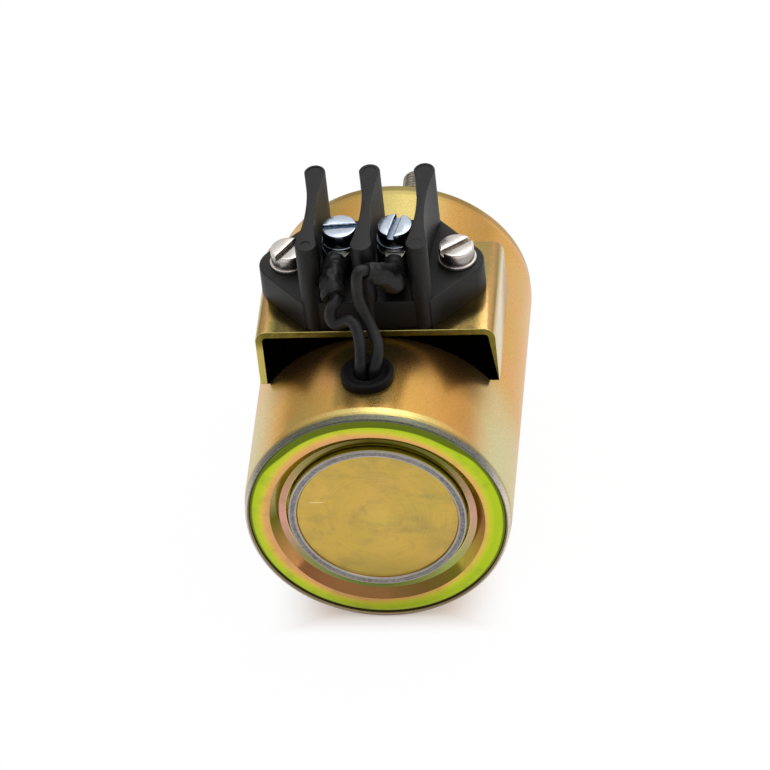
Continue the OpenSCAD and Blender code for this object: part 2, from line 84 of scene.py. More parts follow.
# ---- Studio ----
# A white table that the case lies on, a soft box overhead and pale walls that darken behind the camera.
class Wire:
    """An output of a node. Plain arithmetic on it adds the nodes that work it out."""
    def __init__(self, socket):
        self.socket = socket

    def __abs__(self):
        return calc("ABSOLUTE", self)


for sign, operation in (("add", "ADD"), ("sub", "SUBTRACT"), ("mul", "MULTIPLY"), ("truediv", "DIVIDE")):
    setattr(Wire, f"__{sign}__", lambda a, b, operation=operation: calc(operation, a, b))
    setattr(Wire, f"__r{sign}__", lambda a, b, operation=operation: calc(operation, b, a))


def wires(node):
    """A node's outputs, by number and by name."""
    return {key: Wire(socket) for i, socket in enumerate(node.outputs) for key in (i, socket.name)}


def feed(node, sockets):
    """Give a node's inputs, by number or name, a value or another node's output."""
    for key, value in sockets.items():
        if isinstance(value, Wire):
            node.id_data.links.new(value.socket, node.inputs[key])
        else:
            node.inputs[key].default_value = value


def put(kind, sockets, tree=None, **settings):
    """Add a node to a tree, if none is named to the one its inputs come from, and return its outputs."""
    tree = tree or next(value.socket.id_data for value in sockets.values() if isinstance(value, Wire))
    made = tree.nodes.new(kind)
    for key, value in settings.items():
        setattr(made, key, value)
    feed(made, sockets)
    return wires(made)


def calc(operation, a, b=0.0, c=0.0):
    return put("ShaderNodeMath", {0: a, 1: b, 2: c}, operation=operation)[0]


def between(value, start, end, low=0.0, high=1.0):
    """The value eased from low at start to high at end."""
    return put("ShaderNodeMapRange", {0: value, 1: start, 2: end, 3: low, 4: high},
               interpolation_type="SMOOTHSTEP")[0]


def tint(share, a, b):
    """Colour b laid over colour a by a share from 0 to 1."""
    a, b = (value if isinstance(value, Wire) else (*value, 1) for value in (a, b))
    return put("ShaderNodeMix", {0: share, 6: a, 7: b}, data_type="RGBA", blend_type="MIX")[2]


def split(vector):
    """The X, Y and Z of a vector, as numbers 0, 1 and 2."""
    return put("ShaderNodeSeparateXYZ", {0: vector})


table_paint = bpy.data.materials.new("white_table")
table_paint.use_nodes = True
tree = table_paint.node_tree
tree.nodes.clear()
path = put("ShaderNodeLightPath", {}, tree)
seen = path["Is Camera Ray"] + path["Is Glossy Ray"] + path["Is Transmission Ray"]
seen = calc("MINIMUM", seen, 1.0)
shine = put("ShaderNodeEmission", {"Color": (1, 1, 1, 1), "Strength": 1.0}, tree)
axes = split(put("ShaderNodeTexCoord", {}, tree)["Object"])
away = calc("MAXIMUM", between(abs(axes[0]), 9 * MM, 24 * MM),
            between(axes[1], case_low.y + 2 * MM, case_low.y - 5 * MM))
away = calc("MAXIMUM", away, between(axes[1], -30 * MM, 0.0))
# Near where the case touches, the table's colour turns warm: a painted glow of light thrown off the yellow
# case
matt = put("ShaderNodeBsdfDiffuse", {"Color": tint(away, (0.93, 0.78, 0.68), (0.93, 0.93, 0.93))})
share = path["Is Camera Ray"] * (away * 0.66 - 0.28) + 0.6
mixed = put("ShaderNodeMixShader", {0: share * seen, 1: matt[0], 2: shine[0]})
put("ShaderNodeOutputMaterial", {"Surface": mixed[0]})

table_mesh = bpy.data.meshes.new("white_table")
reach = 4.0
table_z = case_low.z
table_mesh.from_pydata([(x, y, table_z) for x, y in
                        ((-reach, -reach), (reach, -reach), (reach, reach), (-reach, reach))],
                       [], [(0, 1, 2, 3)])
table_mesh.materials.append(table_paint)
table = bpy.data.objects.new("white_table", table_mesh)
bpy.context.scene.collection.objects.link(table)

room = bpy.data.worlds.new("studio")
bpy.context.scene.world = room
room.use_nodes = True
tree = room.node_tree
tree.nodes.clear()
facing = split(put("ShaderNodeTexCoord", {}, tree)["Generated"])
overhead = between(facing[2], 0.05, 0.62, 0.62, 0.98)
panel = between(facing[2], 0.69, 0.77) * between(facing[2], 0.95, 0.87)
behind = between(facing[1], -0.35, -0.75, 1.0, 0.42)
lamp_side = between(facing[0], -0.7, 0.5, 0.78, 1.1)
path = put("ShaderNodeLightPath", {}, tree)
straight = calc("MAXIMUM", path["Is Camera Ray"], path["Is Transmission Ray"])
glow = (panel * 0.5 + overhead) * behind * lamp_side * (1.0 - straight) + straight
sky = put("ShaderNodeBackground", {"Color": (1, 1, 1, 1), "Strength": glow})
put("ShaderNodeOutputWorld", {"Surface": sky[0]})

soft_box = bpy.data.lights.new("soft_box", "AREA")
soft_box.shape = "RECTANGLE"
soft_box.size = 0.9
soft_box.size_y = 0.6
soft_box.energy = 2.6
lamp = bpy.data.objects.new("soft_box", soft_box)
lamp.location = (0.25, 0.35, 0.95)
lamp.rotation_euler = (Vector(lamp.location) - Vector((0, -35 * MM, 0))).to_track_quat("Z", "Y").to_euler()
bpy.context.scene.collection.objects.link(lamp)


# ---- Case ----
# A drawn steel tube with a yellow chromate film. Its ends are spun in over the end plates as narrow
# lips, and the spinning tool has left the faces of the lips bare and finely scored.
def soft_corners(corners, steps=5):
    """A closed outline of (a, b, radius) corners, each rounded to its radius if it has one."""
    outline = []
    for i, (a, b, *rounding) in enumerate(corners):
        corner = Vector((a, b))
        radius = rounding[0] if rounding else 0
        if not radius:
            outline.append(corner)
            continue
        before = (Vector(corners[i - 1][:2]) - corner).normalized()
        after = (Vector(corners[(i + 1) % len(corners)][:2]) - corner).normalized()
        half = before.angle(after) / 2
        centre = corner + (before + after).normalized() * radius / math.sin(half)
        start = corner + before * radius / math.tan(half) - centre
        end = corner + after * radius / math.tan(half) - centre
        turn = start.angle_signed(end)
        for k in range(steps + 1):
            a = -turn * k / steps
            outline.append(centre + Vector((start.x * math.cos(a) - start.y * math.sin(a),
                                            start.x * math.sin(a) + start.y * math.cos(a))))
    return outline


def skinned(rings, closed=False):
    """Points and faces over a list of rings; closed joins the last ring to the first."""
    sides, count = len(rings[0]), len(rings)
    points = [p for ring in rings for p in ring]
    faces = []
    for i in range(count if closed else count - 1):
        j = (i + 1) % count
        for k in range(sides):
            n = (k + 1) % sides
            faces.append((i * sides + k, i * sides + n, j * sides + n, j * sides + k))
    if not closed:
        faces += [tuple(reversed(range(sides))), tuple(range((count - 1) * sides, count * sides))]
    return points, faces


def turned(outline, sides=224):
    """Points and faces of a closed outline of (radius, along) turned about the Y axis."""
    points, faces = skinned([[(r * math.sin(math.tau * k / sides), y, r * math.cos(math.tau * k / sides))
                              for r, y in outline] for k in range(sides)], closed=True)
    on_axis = [r < 1e-7 for r, _ in outline]
    count = len(outline)
    return points, [face for face in faces if not (on_axis[face[0] % count] and on_axis[face[1] % count])]


def cleaned(mesh, sharp):
    """The mesh with its doubled points merged and smooth shading up to an angle in degrees."""
    shell = bmesh.new()
    shell.from_mesh(mesh)
    bmesh.ops.remove_doubles(shell, verts=shell.verts, dist=1e-7)
    bmesh.ops.dissolve_degenerate(shell, edges=shell.edges, dist=1e-7)
    bmesh.ops.recalc_face_normals(shell, faces=shell.faces)
    shell.to_mesh(mesh)
    shell.free()
    mesh.shade_smooth()
    mesh.set_sharp_from_angle(angle=math.radians(sharp))
    return mesh


def as_mesh(points, faces, sharp=32):
    """A clean closed mesh in metres from points in millimetres."""
    mesh = bpy.data.meshes.new("form")
    mesh.from_pydata([Vector(p) * MM for p in points], [], faces)
    return cleaned(mesh, sharp)


def fit(name, mesh, finish, slot, *nodes, body="housing"):
    """Put a finished mesh in the scene as a piece that stands for CAD nodes."""
    mesh.name = name
    mesh.materials.clear()
    mesh.materials.append(finish)
    piece = bpy.data.objects.new(name, mesh)
    bpy.context.scene.collection.objects.link(piece)
    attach(piece, body)
    if nodes:
        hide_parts(*nodes)
    return piece


def repaint(node_name, finish):
    """Give a CAD node that keeps its solid a new finish."""
    part = frame["nodes"][node_name]
    part.data.materials.clear()
    part.data.materials.append(finish)


def coat(name, metallic=0.0, roughness=0.5, **plain):
    """A new material, its Principled shader and the place on the piece; plain sets the shader's sockets."""
    finish = bpy.data.materials.new(name)
    finish.use_nodes = True
    shader = finish.node_tree.nodes["Principled BSDF"]
    feed(shader, {"Metallic": metallic, "Roughness": roughness,
                  **{key.replace("_", " "): value for key, value in plain.items()}})
    return finish, shader, put("ShaderNodeTexCoord", {}, finish.node_tree)["Object"]


def dress(shader, colour, rough, height, depth):
    """Give a shader its colour and roughness, and a relief whose height from 0 to 1 is depth in mm."""
    bump = put("ShaderNodeBump", {"Height": height, "Distance": depth * MM, "Strength": 1.0})
    feed(shader, {"Base Color": colour, "Roughness": rough, "Normal": bump[0]})


def effect(name, takes, gives, kind="ShaderNodeTree"):
    """A new node group, what it takes and its output node. takes and gives map a name to a type, and
    takes may add a default value."""
    group = bpy.data.node_groups.new(name, kind)
    for key, (socket_type, *value) in takes.items():
        socket = group.interface.new_socket(name=key, in_out="INPUT", socket_type="NodeSocket" + socket_type)
        if value:
            socket.default_value = value[0]
    for key, socket_type in gives.items():
        group.interface.new_socket(name=key, in_out="OUTPUT", socket_type="NodeSocket" + socket_type)
    return group, wires(group.nodes.new("NodeGroupInput")), group.nodes.new("NodeGroupOutput")


def use(group, place, **sockets):
    """Place an effect in the material that a place comes from and return its outputs."""
    sockets = {key.replace("_", " "): value for key, value in sockets.items()}
    return put("ShaderNodeGroup", {"Vector": place, **sockets}, node_tree=group)


def cloud(where, scale, detail=2.0, rough=0.5):
    sockets = {"Vector": where, "Scale": scale, "Detail": detail, "Roughness": rough}
    return put("ShaderNodeTexNoise", sockets)[0]


def layered(colour, *layers):
    """A colour with (share, colour) layers laid over it, one after another."""
    for share, layer in layers:
        colour = tint(share, colour, layer)
    return colour


# Place on a turned part: radius and height along the axis in millimetres, angle from 0 to 1
turned_place, taken, given = effect(
    "place on a turned part", {"Vector": ("Vector",)},
    {"Radius": "Float", "Along": "Float", "Angle": "Float", "Round": "Vector"})
axes = split(taken["Vector"])
x, along, z = (axes[i] * 1000.0 for i in range(3))
radius = calc("SQRT", x * x + z * z)
safe = calc("MAXIMUM", radius, 0.01)
ring = put("ShaderNodeCombineXYZ", {0: x / safe, 1: z / safe, 2: 0.0})
feed(given, {"Radius": radius, "Along": along, "Angle": calc("ARCTAN2", x, z) * (1 / math.tau) + 0.5,
             "Round": ring[0]})

# Fine lines that a lathe tool or a spinning roller leaves round the axis
lathe_marks, taken, given = effect("lathe marks", {
    "Vector": ("Vector",), "Spacing": ("Float", 0.1), "Sweep": ("Float", 1.5), "Contrast": ("Float", 1.0)},
    {"Height": "Float", "Streak": "Float"})
spot = use(turned_place, taken["Vector"])
level = put("ShaderNodeCombineXYZ", {2: (spot["Radius"] + spot["Along"]) / taken["Spacing"]})
sweep = put("ShaderNodeVectorMath", {0: spot["Round"], 3: taken["Sweep"]}, operation="SCALE")
lines = put("ShaderNodeVectorMath", {0: sweep[0], 1: level[0]}, operation="ADD")
scored = cloud(lines[0], 1.0, 3.0, 0.6)
feed(given, {"Height": scored, "Streak": between((scored - 0.5) * taken["Contrast"] + 0.5, 0.3, 0.7)})

# A fine crystalline grain, with its size in millimetres
fine_grain, taken, given = effect("fine grain", {"Vector": ("Vector",), "Size": ("Float", 0.2)},
                                  {"Height": "Float", "Mottle": "Float"})
fine = cloud(taken["Vector"], 1000.0 / taken["Size"], 2.0, 0.6)
feed(given, {"Height": fine, "Mottle": between(fine, 0.3, 0.7)})

# A chromate film on zinc: gold that drifts to green and to rose where the film is thinner or thicker
chromate, taken, given = effect("chromate film", {
    "Vector": ("Vector",), "Patch": ("Float", 14.0), "Gold": ("Color",), "Green": ("Color",),
    "Rose": ("Color",), "Green Share": ("Float", 0.5), "Rose Share": ("Float", 0.5)},
    {"Color": "Color", "Thickness": "Float"})
scale = 1000.0 / taken["Patch"]
film = cloud(taken["Vector"], scale, 2.0, 0.45)
moved = put("ShaderNodeVectorMath", {0: taken["Vector"], 1: (0.31, 0.17, 0.05)}, operation="ADD")
green = between(film, 0.48, 0.66) * taken["Green Share"]
rose = between(cloud(moved[0], scale, 2.0, 0.45), 0.48, 0.66) * taken["Rose Share"]
colour = layered(taken["Gold"], (green, taken["Green"]), (rose, taken["Rose"]))
feed(given, {"Color": colour, "Thickness": film})

# Smudges of handling and dulled oil: a soft mask with ragged edges
smudges, taken, given = effect("smudges", {
    "Vector": ("Vector",), "Size": ("Float", 6.0), "Amount": ("Float", 0.5)}, {"Mask": "Float"})
blot = cloud(taken["Vector"], 1000.0 / taken["Size"], 5.0, 0.62)
edge = 0.72 - taken["Amount"] * 0.3
feed(given, {"Mask": put("ShaderNodeMapRange", {0: blot, 1: edge - 0.1, 2: edge + 0.1})[0]})

rear_lip, front_lip = case_low.y / MM, case_high.y / MM
case_r = case_high.x / MM
lip_r, bore_r, plate_seat_r, shoulder = case_r - 1.2, case_r - 1.5, case_r - 1.0, 3.1
rear_plate_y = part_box("rear_end_plate")[0].y / MM
rear_seat_y = rear_plate_y + 0.5
rear_inner_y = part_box("rear_end_plate")[1].y / MM
front_inner_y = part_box("front_end_plate")[0].y / MM
front_plate_y = front_lip - 0.7

case_film, shader, place = coat("case_yellow_chromate", 0.92, 0.24, Specular_Tint=(1.0, 0.88, 0.72, 1))
spot = use(turned_place, place)
film = use(chromate, place, Patch=15.0, Gold=(0.75, 0.41, 0.1, 1), Green=(0.6, 0.52, 0.15, 1),
           Rose=(0.82, 0.4, 0.17, 1), Green_Share=0.4, Rose_Share=0.5)
grain = use(fine_grain, place, Size=0.2)
score = use(lathe_marks, place, Spacing=0.12, Sweep=9.0, Contrast=1.3)
radius, along, film_depth = spot["Radius"], spot["Along"], film["Thickness"]
from_end = calc("MINIMUM", along - rear_lip, front_lip - along)
ragged = score["Streak"] * 0.35 + from_end
bare = calc("MAXIMUM", between(ragged, 1.7, 1.3) * calc("LESS_THAN", along, rear_lip / 2),
            between(from_end, 0.3, 0.1))
axes = split(spot["Round"])
across, upward = axes[0], axes[1]
# The lips: bare steel, with painted shade at the top and at the very bottom, a painted reflection of the
# white table along the lower outer edge, browner on the lower half of the inner edge, and a painted dark line
# of shade at the inner edge where the lip meets the plate
steel = tint(grain["Mottle"] * 0.7 + score["Streak"] * 0.3, (0.06, 0.057, 0.055), (0.46, 0.44, 0.43))
# Painted reflection of the white table, speckled by the grain, along the lower outer edge of the lips
painted_table_reflection = between(upward, 0.6, 0.1) * between(radius, case_r - 0.8, case_r - 0.55)
steel = layered(
    steel, (between(upward, 0.3, 0.95) * 0.6, (0.05, 0.06, 0.008)),
    (painted_table_reflection * (grain["Mottle"] * 0.5 + 0.5), (0.86, 0.78, 0.66)),
    (between(upward, -0.9, -1.0) * 0.5, (0.2, 0.14, 0.1)),
    (between(radius, lip_r + 0.45, lip_r + 0.3) * between(upward, 0.5, 0.1), (0.34, 0.24, 0.13)),
    (between(radius, lip_r + 0.22, lip_r + 0.12), (0.03, 0.028, 0.01)))
# The side: paler and yellower on the rear shoulder and the far top, partly a thinner film and partly a
# painted highlight; painted brown shade under and next to the bracket; a painted dark reflection of the
# grommet, leads and block along the top; a painted pale sheen on the flanks; and darker olive-brown just
# short of the lips
off_top = abs(across - 0.1)
# Paler, yellower film on the rear shoulder and the far top: partly thinner film, partly a painted highlight
# that is strongest at the top
rear_strip = between(along - rear_lip, shoulder + 0.3, shoulder - 0.2)
rear_strip = rear_strip * (between(off_top, 0.62, 0.22) * 0.8 + 0.2)
far_strip = between(along, -24.0, -8.0) * between(off_top, 0.42, 0.12)
thin_film_and_highlight = calc("MAXIMUM", rear_strip, far_strip)
side_on = between(across, 0.3, 0.62) * between(along, -48.0, -56.0)
# Painted brown shade on the top of the case under and next to the bracket
painted_bracket_shade = between(film_depth * 8.0 + along, -55.5, -47.0) * between(along, -28.0, -32.0)
painted_bracket_shade = painted_bracket_shade * between(upward, 0.45, 0.8)
# Painted dark reflection of the grommet, leads and block along the top of the case
painted_grommet_reflection = between(abs(split(place)[0] + 1.0 * MM), 6.4 * MM, 4.6 * MM)
painted_grommet_reflection = painted_grommet_reflection * between(along, rear_lip + 2.8, rear_lip + 5.2) * between(along, -47, -50)
painted_grommet_reflection = painted_grommet_reflection * between(upward, 0, 0.5)
# Painted pale sheen on the flanks, where the case turns towards the white surroundings
painted_side_sheen = between(abs(across), 0.66, 0.93) * between(film_depth * 14.0 + along, -34.0, -52.0)
colour = layered(film["Color"], (side_on * 0.6, (0.84, 0.4, 0.085)), (thin_film_and_highlight * 0.85, (0.8, 0.68, 0.24)),
                 (painted_bracket_shade * 0.8, (0.16, 0.075, 0.025)), (painted_grommet_reflection * 0.55, (0.17, 0.17, 0.05)),
                 (painted_side_sheen * 0.85, (0.66, 0.69, 0.42)), (between(from_end, 2.2, 1.6) * 0.6, (0.24, 0.2, 0.07)))
dull = tint(grain["Mottle"], colour, tint(0.74, (0, 0, 0), colour))
dress(shader, tint(bare, dull, steel), grain["Mottle"] * 0.1 + bare * 0.16 + 0.2,
      grain["Height"] * (1.0 - bare) + score["Height"] * (bare * 3.0), 0.009)

outline = soft_corners([
    (lip_r, rear_seat_y), (lip_r + 0.4, rear_lip, 0.1), (case_r - 0.37, rear_lip, 0.38),
    (case_r - 0.13, rear_lip + 1.75, 2.5), (case_r, rear_lip + shoulder, 1.5),
    (case_r, front_lip - shoulder, 1.5), (case_r - 0.13, front_lip - 1.75, 2.5),
    (case_r - 0.37, front_lip, 0.38), (lip_r + 0.4, front_lip, 0.1), (lip_r, front_lip - 0.45),
    (lip_r, front_plate_y),
    (plate_seat_r, front_plate_y), (plate_seat_r, front_inner_y), (bore_r, front_inner_y),
    (bore_r, rear_inner_y), (plate_seat_r, rear_inner_y), (plate_seat_r, rear_seat_y)])
grommet_low, grommet_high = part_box("lead_grommet")
grommet_x = (grommet_low.x + grommet_high.x) / 2 / MM
grommet_y = (grommet_low.y + grommet_high.y) / 2 / MM


def evaluated(holder):
    """What an object's modifiers make of its mesh, as a new mesh."""
    bpy.context.view_layer.update()
    return bpy.data.meshes.new_from_object(holder.evaluated_get(bpy.context.evaluated_depsgraph_get()))


def cut(mesh, cutters, operation="DIFFERENCE"):
    """The mesh with other meshes taken away from it or joined to it, as a new clean mesh."""
    body = bpy.data.objects.new("blank", mesh)
    bpy.context.scene.collection.objects.link(body)
    tools = []
    for cutter in cutters:
        tool = bpy.data.objects.new("tool", cutter)
        bpy.context.scene.collection.objects.link(tool)
        step = body.modifiers.new("cut", "BOOLEAN")
        step.object, step.operation, step.solver = tool, operation, "EXACT"
        tools.append(tool)
    result = evaluated(body)
    for used in [body, *tools]:
        bpy.data.objects.remove(used)
    result.shade_smooth()
    result.set_sharp_from_angle(angle=math.radians(32))
    return result


def stood_up(points, x=0.0, y=0.0):
    """Points of a part turned about Y, stood up on Z at a place in millimetres."""
    return [(p[0] + x, p[2] + y, p[1]) for p in points]


def plug(x, y, low, high, r, sides=48, flare=0.0):
    """A round plug that stands on Z at a place, to cut a hole with; flare widens its top."""
    points, faces = turned([(0, low), (r, low), (r + flare, high), (0, high)], sides)
    return as_mesh(stood_up(points, x, y), faces)


hole = plug(grommet_x, grommet_y, 10, case_r + 5, 3.5, 64)
fit("case", cut(as_mesh(*turned(outline)), [hole]), case_film, "case_zinc", "case_tube")


# ---- Rear end plate ----
# A turned steel disc with a dished ring, polished before plating, so that its chromate film is
# nearly a mirror: lime green on the flat, rose at the edge of the dish, green and brown on the cone.
dish_r, cone_r, plate_bore_r, plate_edge_r = 20.5, 18.8, 17.35, 22.95
dish_y = rear_plate_y + 1.5

plate_film, shader, place = coat("rear_plate_chromate", 1.0, 0.13)
spot = use(turned_place, place)


def graded(value, *stops):
    """A colour ramp over (position, colour) stops."""
    node = value.socket.id_data.nodes.new("ShaderNodeValToRGB")
    feed(node, {0: value})
    while len(node.color_ramp.elements) < len(stops):
        node.color_ramp.elements.new(0.5)
    for element, (position, colour) in zip(node.color_ramp.elements, stops):
        element.position = position
        element.color = (*colour, 1)
    return wires(node)[0]


drift = cloud(put("ShaderNodeVectorMath", {0: spot["Round"], 3: 0.9}, operation="SCALE")[0], 1.0)
radius, turn = spot["Radius"], spot["Angle"]
axes = split(spot["Round"])
across, upward = axes[0], axes[1]
film_r = radius + drift * 1.6 - 0.8 + across * 0.5 - upward * 0.2
flat_film = graded(put("ShaderNodeMapRange", {0: film_r, 1: dish_r - 0.1, 2: lip_r})[0],
                   (0.0, (0.7, 0.36, 0.15)), (0.18, (0.74, 0.42, 0.12)), (0.32, (0.64, 0.54, 0.06)),
                   (0.5, (0.5, 0.58, 0.035)), (0.66, (0.42, 0.56, 0.02)))
# Film colours round the cone, partly iridescence and partly painted reflection: darkest at the left and
# right, brightest either side of the top
cone_film_and_reflection = graded(turn, (0.0, (0.82, 0.38, 0.14)), (0.12, (0.68, 0.28, 0.11)), (0.25, (0.13, 0.13, 0.012)),
                   (0.37, (0.9, 0.72, 0.3)), (0.5, (0.72, 0.68, 0.16)), (0.63, (0.88, 0.95, 0.26)),
                   (0.75, (0.3, 0.11, 0.035)), (0.88, (0.4, 0.34, 0.04)), (1.0, (0.82, 0.38, 0.14)))
# Film colours round the floor of the dish, with painted shade at its top under the cone
floor_film_and_shade = graded(turn, (0.0, (0.16, 0.22, 0.05)), (0.14, (0.24, 0.27, 0.09)), (0.25, (0.68, 0.32, 0.27)),
                    (0.37, (0.3, 0.25, 0.09)), (0.5, (0.08, 0.06, 0.006)), (0.63, (0.15, 0.15, 0.03)),
                    (0.75, (0.61, 0.33, 0.26)), (0.87, (0.33, 0.39, 0.1)), (1.0, (0.16, 0.22, 0.05)))
# Painted dark shade on the slope just inside the lip, as a crescent that is widest at the top
away_from_top = between(abs(turn - 0.49), 0.11, 0.17)
slope = between(radius - away_from_top * 0.75, plate_edge_r - 0.1, plate_edge_r + 0.25)
dirt = use(smudges, place, Size=3.0, Amount=0.35)["Mask"]
# The bore edge gets a painted highlight, the slope a painted dark crescent of shade, and the bottom painted
# shade; the smudges are dirt
colour = layered(
    floor_film_and_shade, (between(radius, cone_r - 0.12, cone_r + 0.12), cone_film_and_reflection),
    (between(radius, dish_r - 0.16, dish_r + 0.02), flat_film),
    (between(radius, plate_bore_r + 0.3, plate_bore_r + 0.12) * 0.5, (0.72, 0.66, 0.18)),
    (slope * 0.94, (0.1, 0.13, 0.012)), (between(upward, -0.75, -1.0) * 0.3, (0.1, 0.08, 0.01)),
    (dirt * 0.22, (0.2, 0.17, 0.05)))
marks = use(lathe_marks, place, Spacing=0.09, Sweep=1.2, Contrast=1.0)
dress(shader, colour, marks["Streak"] * 0.05 + dirt * 0.1 + 0.1, marks["Height"], 0.0012)

outline = soft_corners([
    (plate_bore_r, rear_inner_y), (plate_bore_r, dish_y, 0.12), (cone_r, dish_y, 0.2),
    (dish_r, rear_plate_y, 0.28), (plate_edge_r, rear_plate_y, 0.4), (lip_r, rear_seat_y),
    (plate_seat_r - 0.05, rear_seat_y), (plate_seat_r - 0.05, rear_inner_y)])
fit("rear_plate", as_mesh(*turned(outline)), plate_film, "rear_plate_zinc", "rear_end_plate")


# ---- Pole piece ----
# The turned steel core that closes the magnetic path. Its boss shows in the rear plate: a bare
# brushed rim and a shallow recess with a dull, mottled gold film.
pole_low, pole_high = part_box("pole_piece")
boss_y, pole_face_y = pole_low.y / MM, pole_high.y / MM
boss_r, recess_r, recess = 17.0, 15.2, 0.5
pole_flange_r, coil_rear_y, guide_r = bore_r - 0.1, rear_inner_y + 2.2, 9.95
spring_bore_r, spring_rear_y = 3.7, pole_face_y - 14

pole_film, shader, place = coat("pole_piece_gold", 1.0, 0.36)
spot = use(turned_place, place)
marks = use(lathe_marks, place, Spacing=0.22, Sweep=1.3, Contrast=1.2)
brush = use(lathe_marks, place, Spacing=0.07, Sweep=2.6, Contrast=1.5)
film = use(chromate, place, Patch=9.0, Gold=(0.6, 0.4, 0.085, 1), Green=(0.5, 0.4, 0.09, 1),
           Rose=(0.66, 0.42, 0.11, 1), Green_Share=0.4, Rose_Share=0.5)
blots = use(smudges, place, Size=6.0, Amount=0.5)["Mask"]
specks = use(smudges, place, Size=1.4, Amount=0.2)["Mask"]
radius, along = spot["Radius"], spot["Along"]
axes = split(place)
across, upward = axes[0], axes[2]
wiped = put("ShaderNodeMapping", {"Vector": place, "Location": (0.3, 0.1, 0.7), "Rotation": (0, 0.12, 0),
                                  "Scale": (90, 60, 260)})[0]
scratch = between(abs(upward - across * 0.03 - 4.1 * MM), 0.13 * MM, 0.04 * MM)
scratch = scratch * between(across, -13.2 * MM, -12.2 * MM) * between(across, -9.3 * MM, -10.6 * MM)
floor_y = boss_y + recess
# Towards the bottom the gold gets painted shade, and the wall of the recess a painted dark brown shade
gold = layered(
    film["Color"], (blots * 0.4, (0.33, 0.27, 0.11)), (specks * 0.4, (0.26, 0.2, 0.08)),
    (marks["Streak"] * 0.3, (0.76, 0.54, 0.12)),
    (between(cloud(wiped, 1.0, 4.0, 0.6), 0.5, 0.68) * 0.34, (0.33, 0.27, 0.1)),
    (between(radius, 4.5, 1.0) * 0.3, (0.78, 0.58, 0.13)),
    (between(upward, -7.5 * MM, -15 * MM) * 0.5, (0.36, 0.26, 0.06)), (scratch * 0.7, (1.0, 0.86, 0.42)),
    (between(along, floor_y - 0.03, floor_y - 0.1), (0.24, 0.13, 0.025)),
    (between(radius, boss_r - 0.1, boss_r - 0.03), (0.5, 0.42, 0.06)))
worn = use(fine_grain, place, Size=0.5)
steel = tint(worn["Mottle"] * 0.4 + brush["Streak"] * 0.6, (0.09, 0.085, 0.085), (0.37, 0.345, 0.33))
# Painted highlights along the outer and inner edges of the bare rim
edges = calc("MAXIMUM", between(radius, boss_r - 0.5, boss_r - 0.3),
             between(radius, recess_r + 0.6, recess_r + 0.4))
rim = between(along, boss_y + 0.24, boss_y + 0.12)
dress(shader, tint(rim, gold, tint(edges * 0.55, steel, (0.62, 0.57, 0.5))),
      marks["Streak"] * 0.08 + blots * 0.08 + 0.34, brush["Height"] * rim + marks["Height"] * 1.5, 0.008)

outline = soft_corners([
    (0, boss_y + recess), (recess_r, boss_y + recess, 0.1), (recess_r + 0.25, boss_y, 0.12),
    (boss_r, boss_y, 0.35), (boss_r, rear_inner_y), (pole_flange_r, rear_inner_y),
    (pole_flange_r, coil_rear_y), (guide_r, coil_rear_y), (guide_r, pole_face_y, 0.4),
    (spring_bore_r, pole_face_y), (spring_bore_r, spring_rear_y), (0, spring_rear_y)])
fit("pole_piece_turned", as_mesh(*turned(outline)), pole_film, "pole_gold", "pole_piece")


# ---- Front end plate ----
# A thick turned plate, spun in under the front lip, with a raised pad that the solenoid is mounted
# on, two tapped holes in the pad and a short hub that centres it in a panel.
pad_r, hub_r, bush_r = 19.0, 7.0, 4.5
hub_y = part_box("front_end_plate")[1].y / MM
front_film, shader, place = coat("front_plate_chromate", 1.0, 0.26)
film = use(chromate, place, Patch=12.0, Gold=(0.7, 0.47, 0.12, 1), Green=(0.52, 0.56, 0.12, 1),
           Rose=(0.76, 0.4, 0.26, 1), Green_Share=0.7, Rose_Share=0.6)
marks = use(lathe_marks, place, Spacing=0.16, Sweep=1.6, Contrast=1.3)
dirt = use(smudges, place, Size=5.0, Amount=0.4)
colour = tint(marks["Streak"] * 0.3, film["Color"], (0.42, 0.33, 0.11))
dress(shader, tint(dirt["Mask"] * 0.4, colour, (0.25, 0.2, 0.09)), marks["Streak"] * 0.1 + 0.2,
      marks["Height"], 0.006)

outline = soft_corners([
    (bush_r, front_inner_y), (plate_seat_r - 0.05, front_inner_y), (plate_seat_r - 0.05, front_plate_y, 0.05),
    (pad_r, front_plate_y, 0.12), (pad_r, 0, 0.45), (hub_r, 0, 0.15), (hub_r, hub_y, 0.4), (bush_r, hub_y)])
tapped_x, tapped_r, tapped_depth, mouth_r = 15.0, 2.1, 5.6, 2.7
points, faces = turned([(0, -tapped_depth), (tapped_r, -tapped_depth), (tapped_r, -0.5), (mouth_r, 0.1),
                        (mouth_r, 1), (0, 1)], 48)
holes = [as_mesh([(p[0] + x, p[1], p[2]) for p in points], faces) for x in (-tapped_x, tapped_x)]
fit("front_plate", cut(as_mesh(*turned(outline)), holes), front_film, "front_plate_zinc", "front_end_plate")


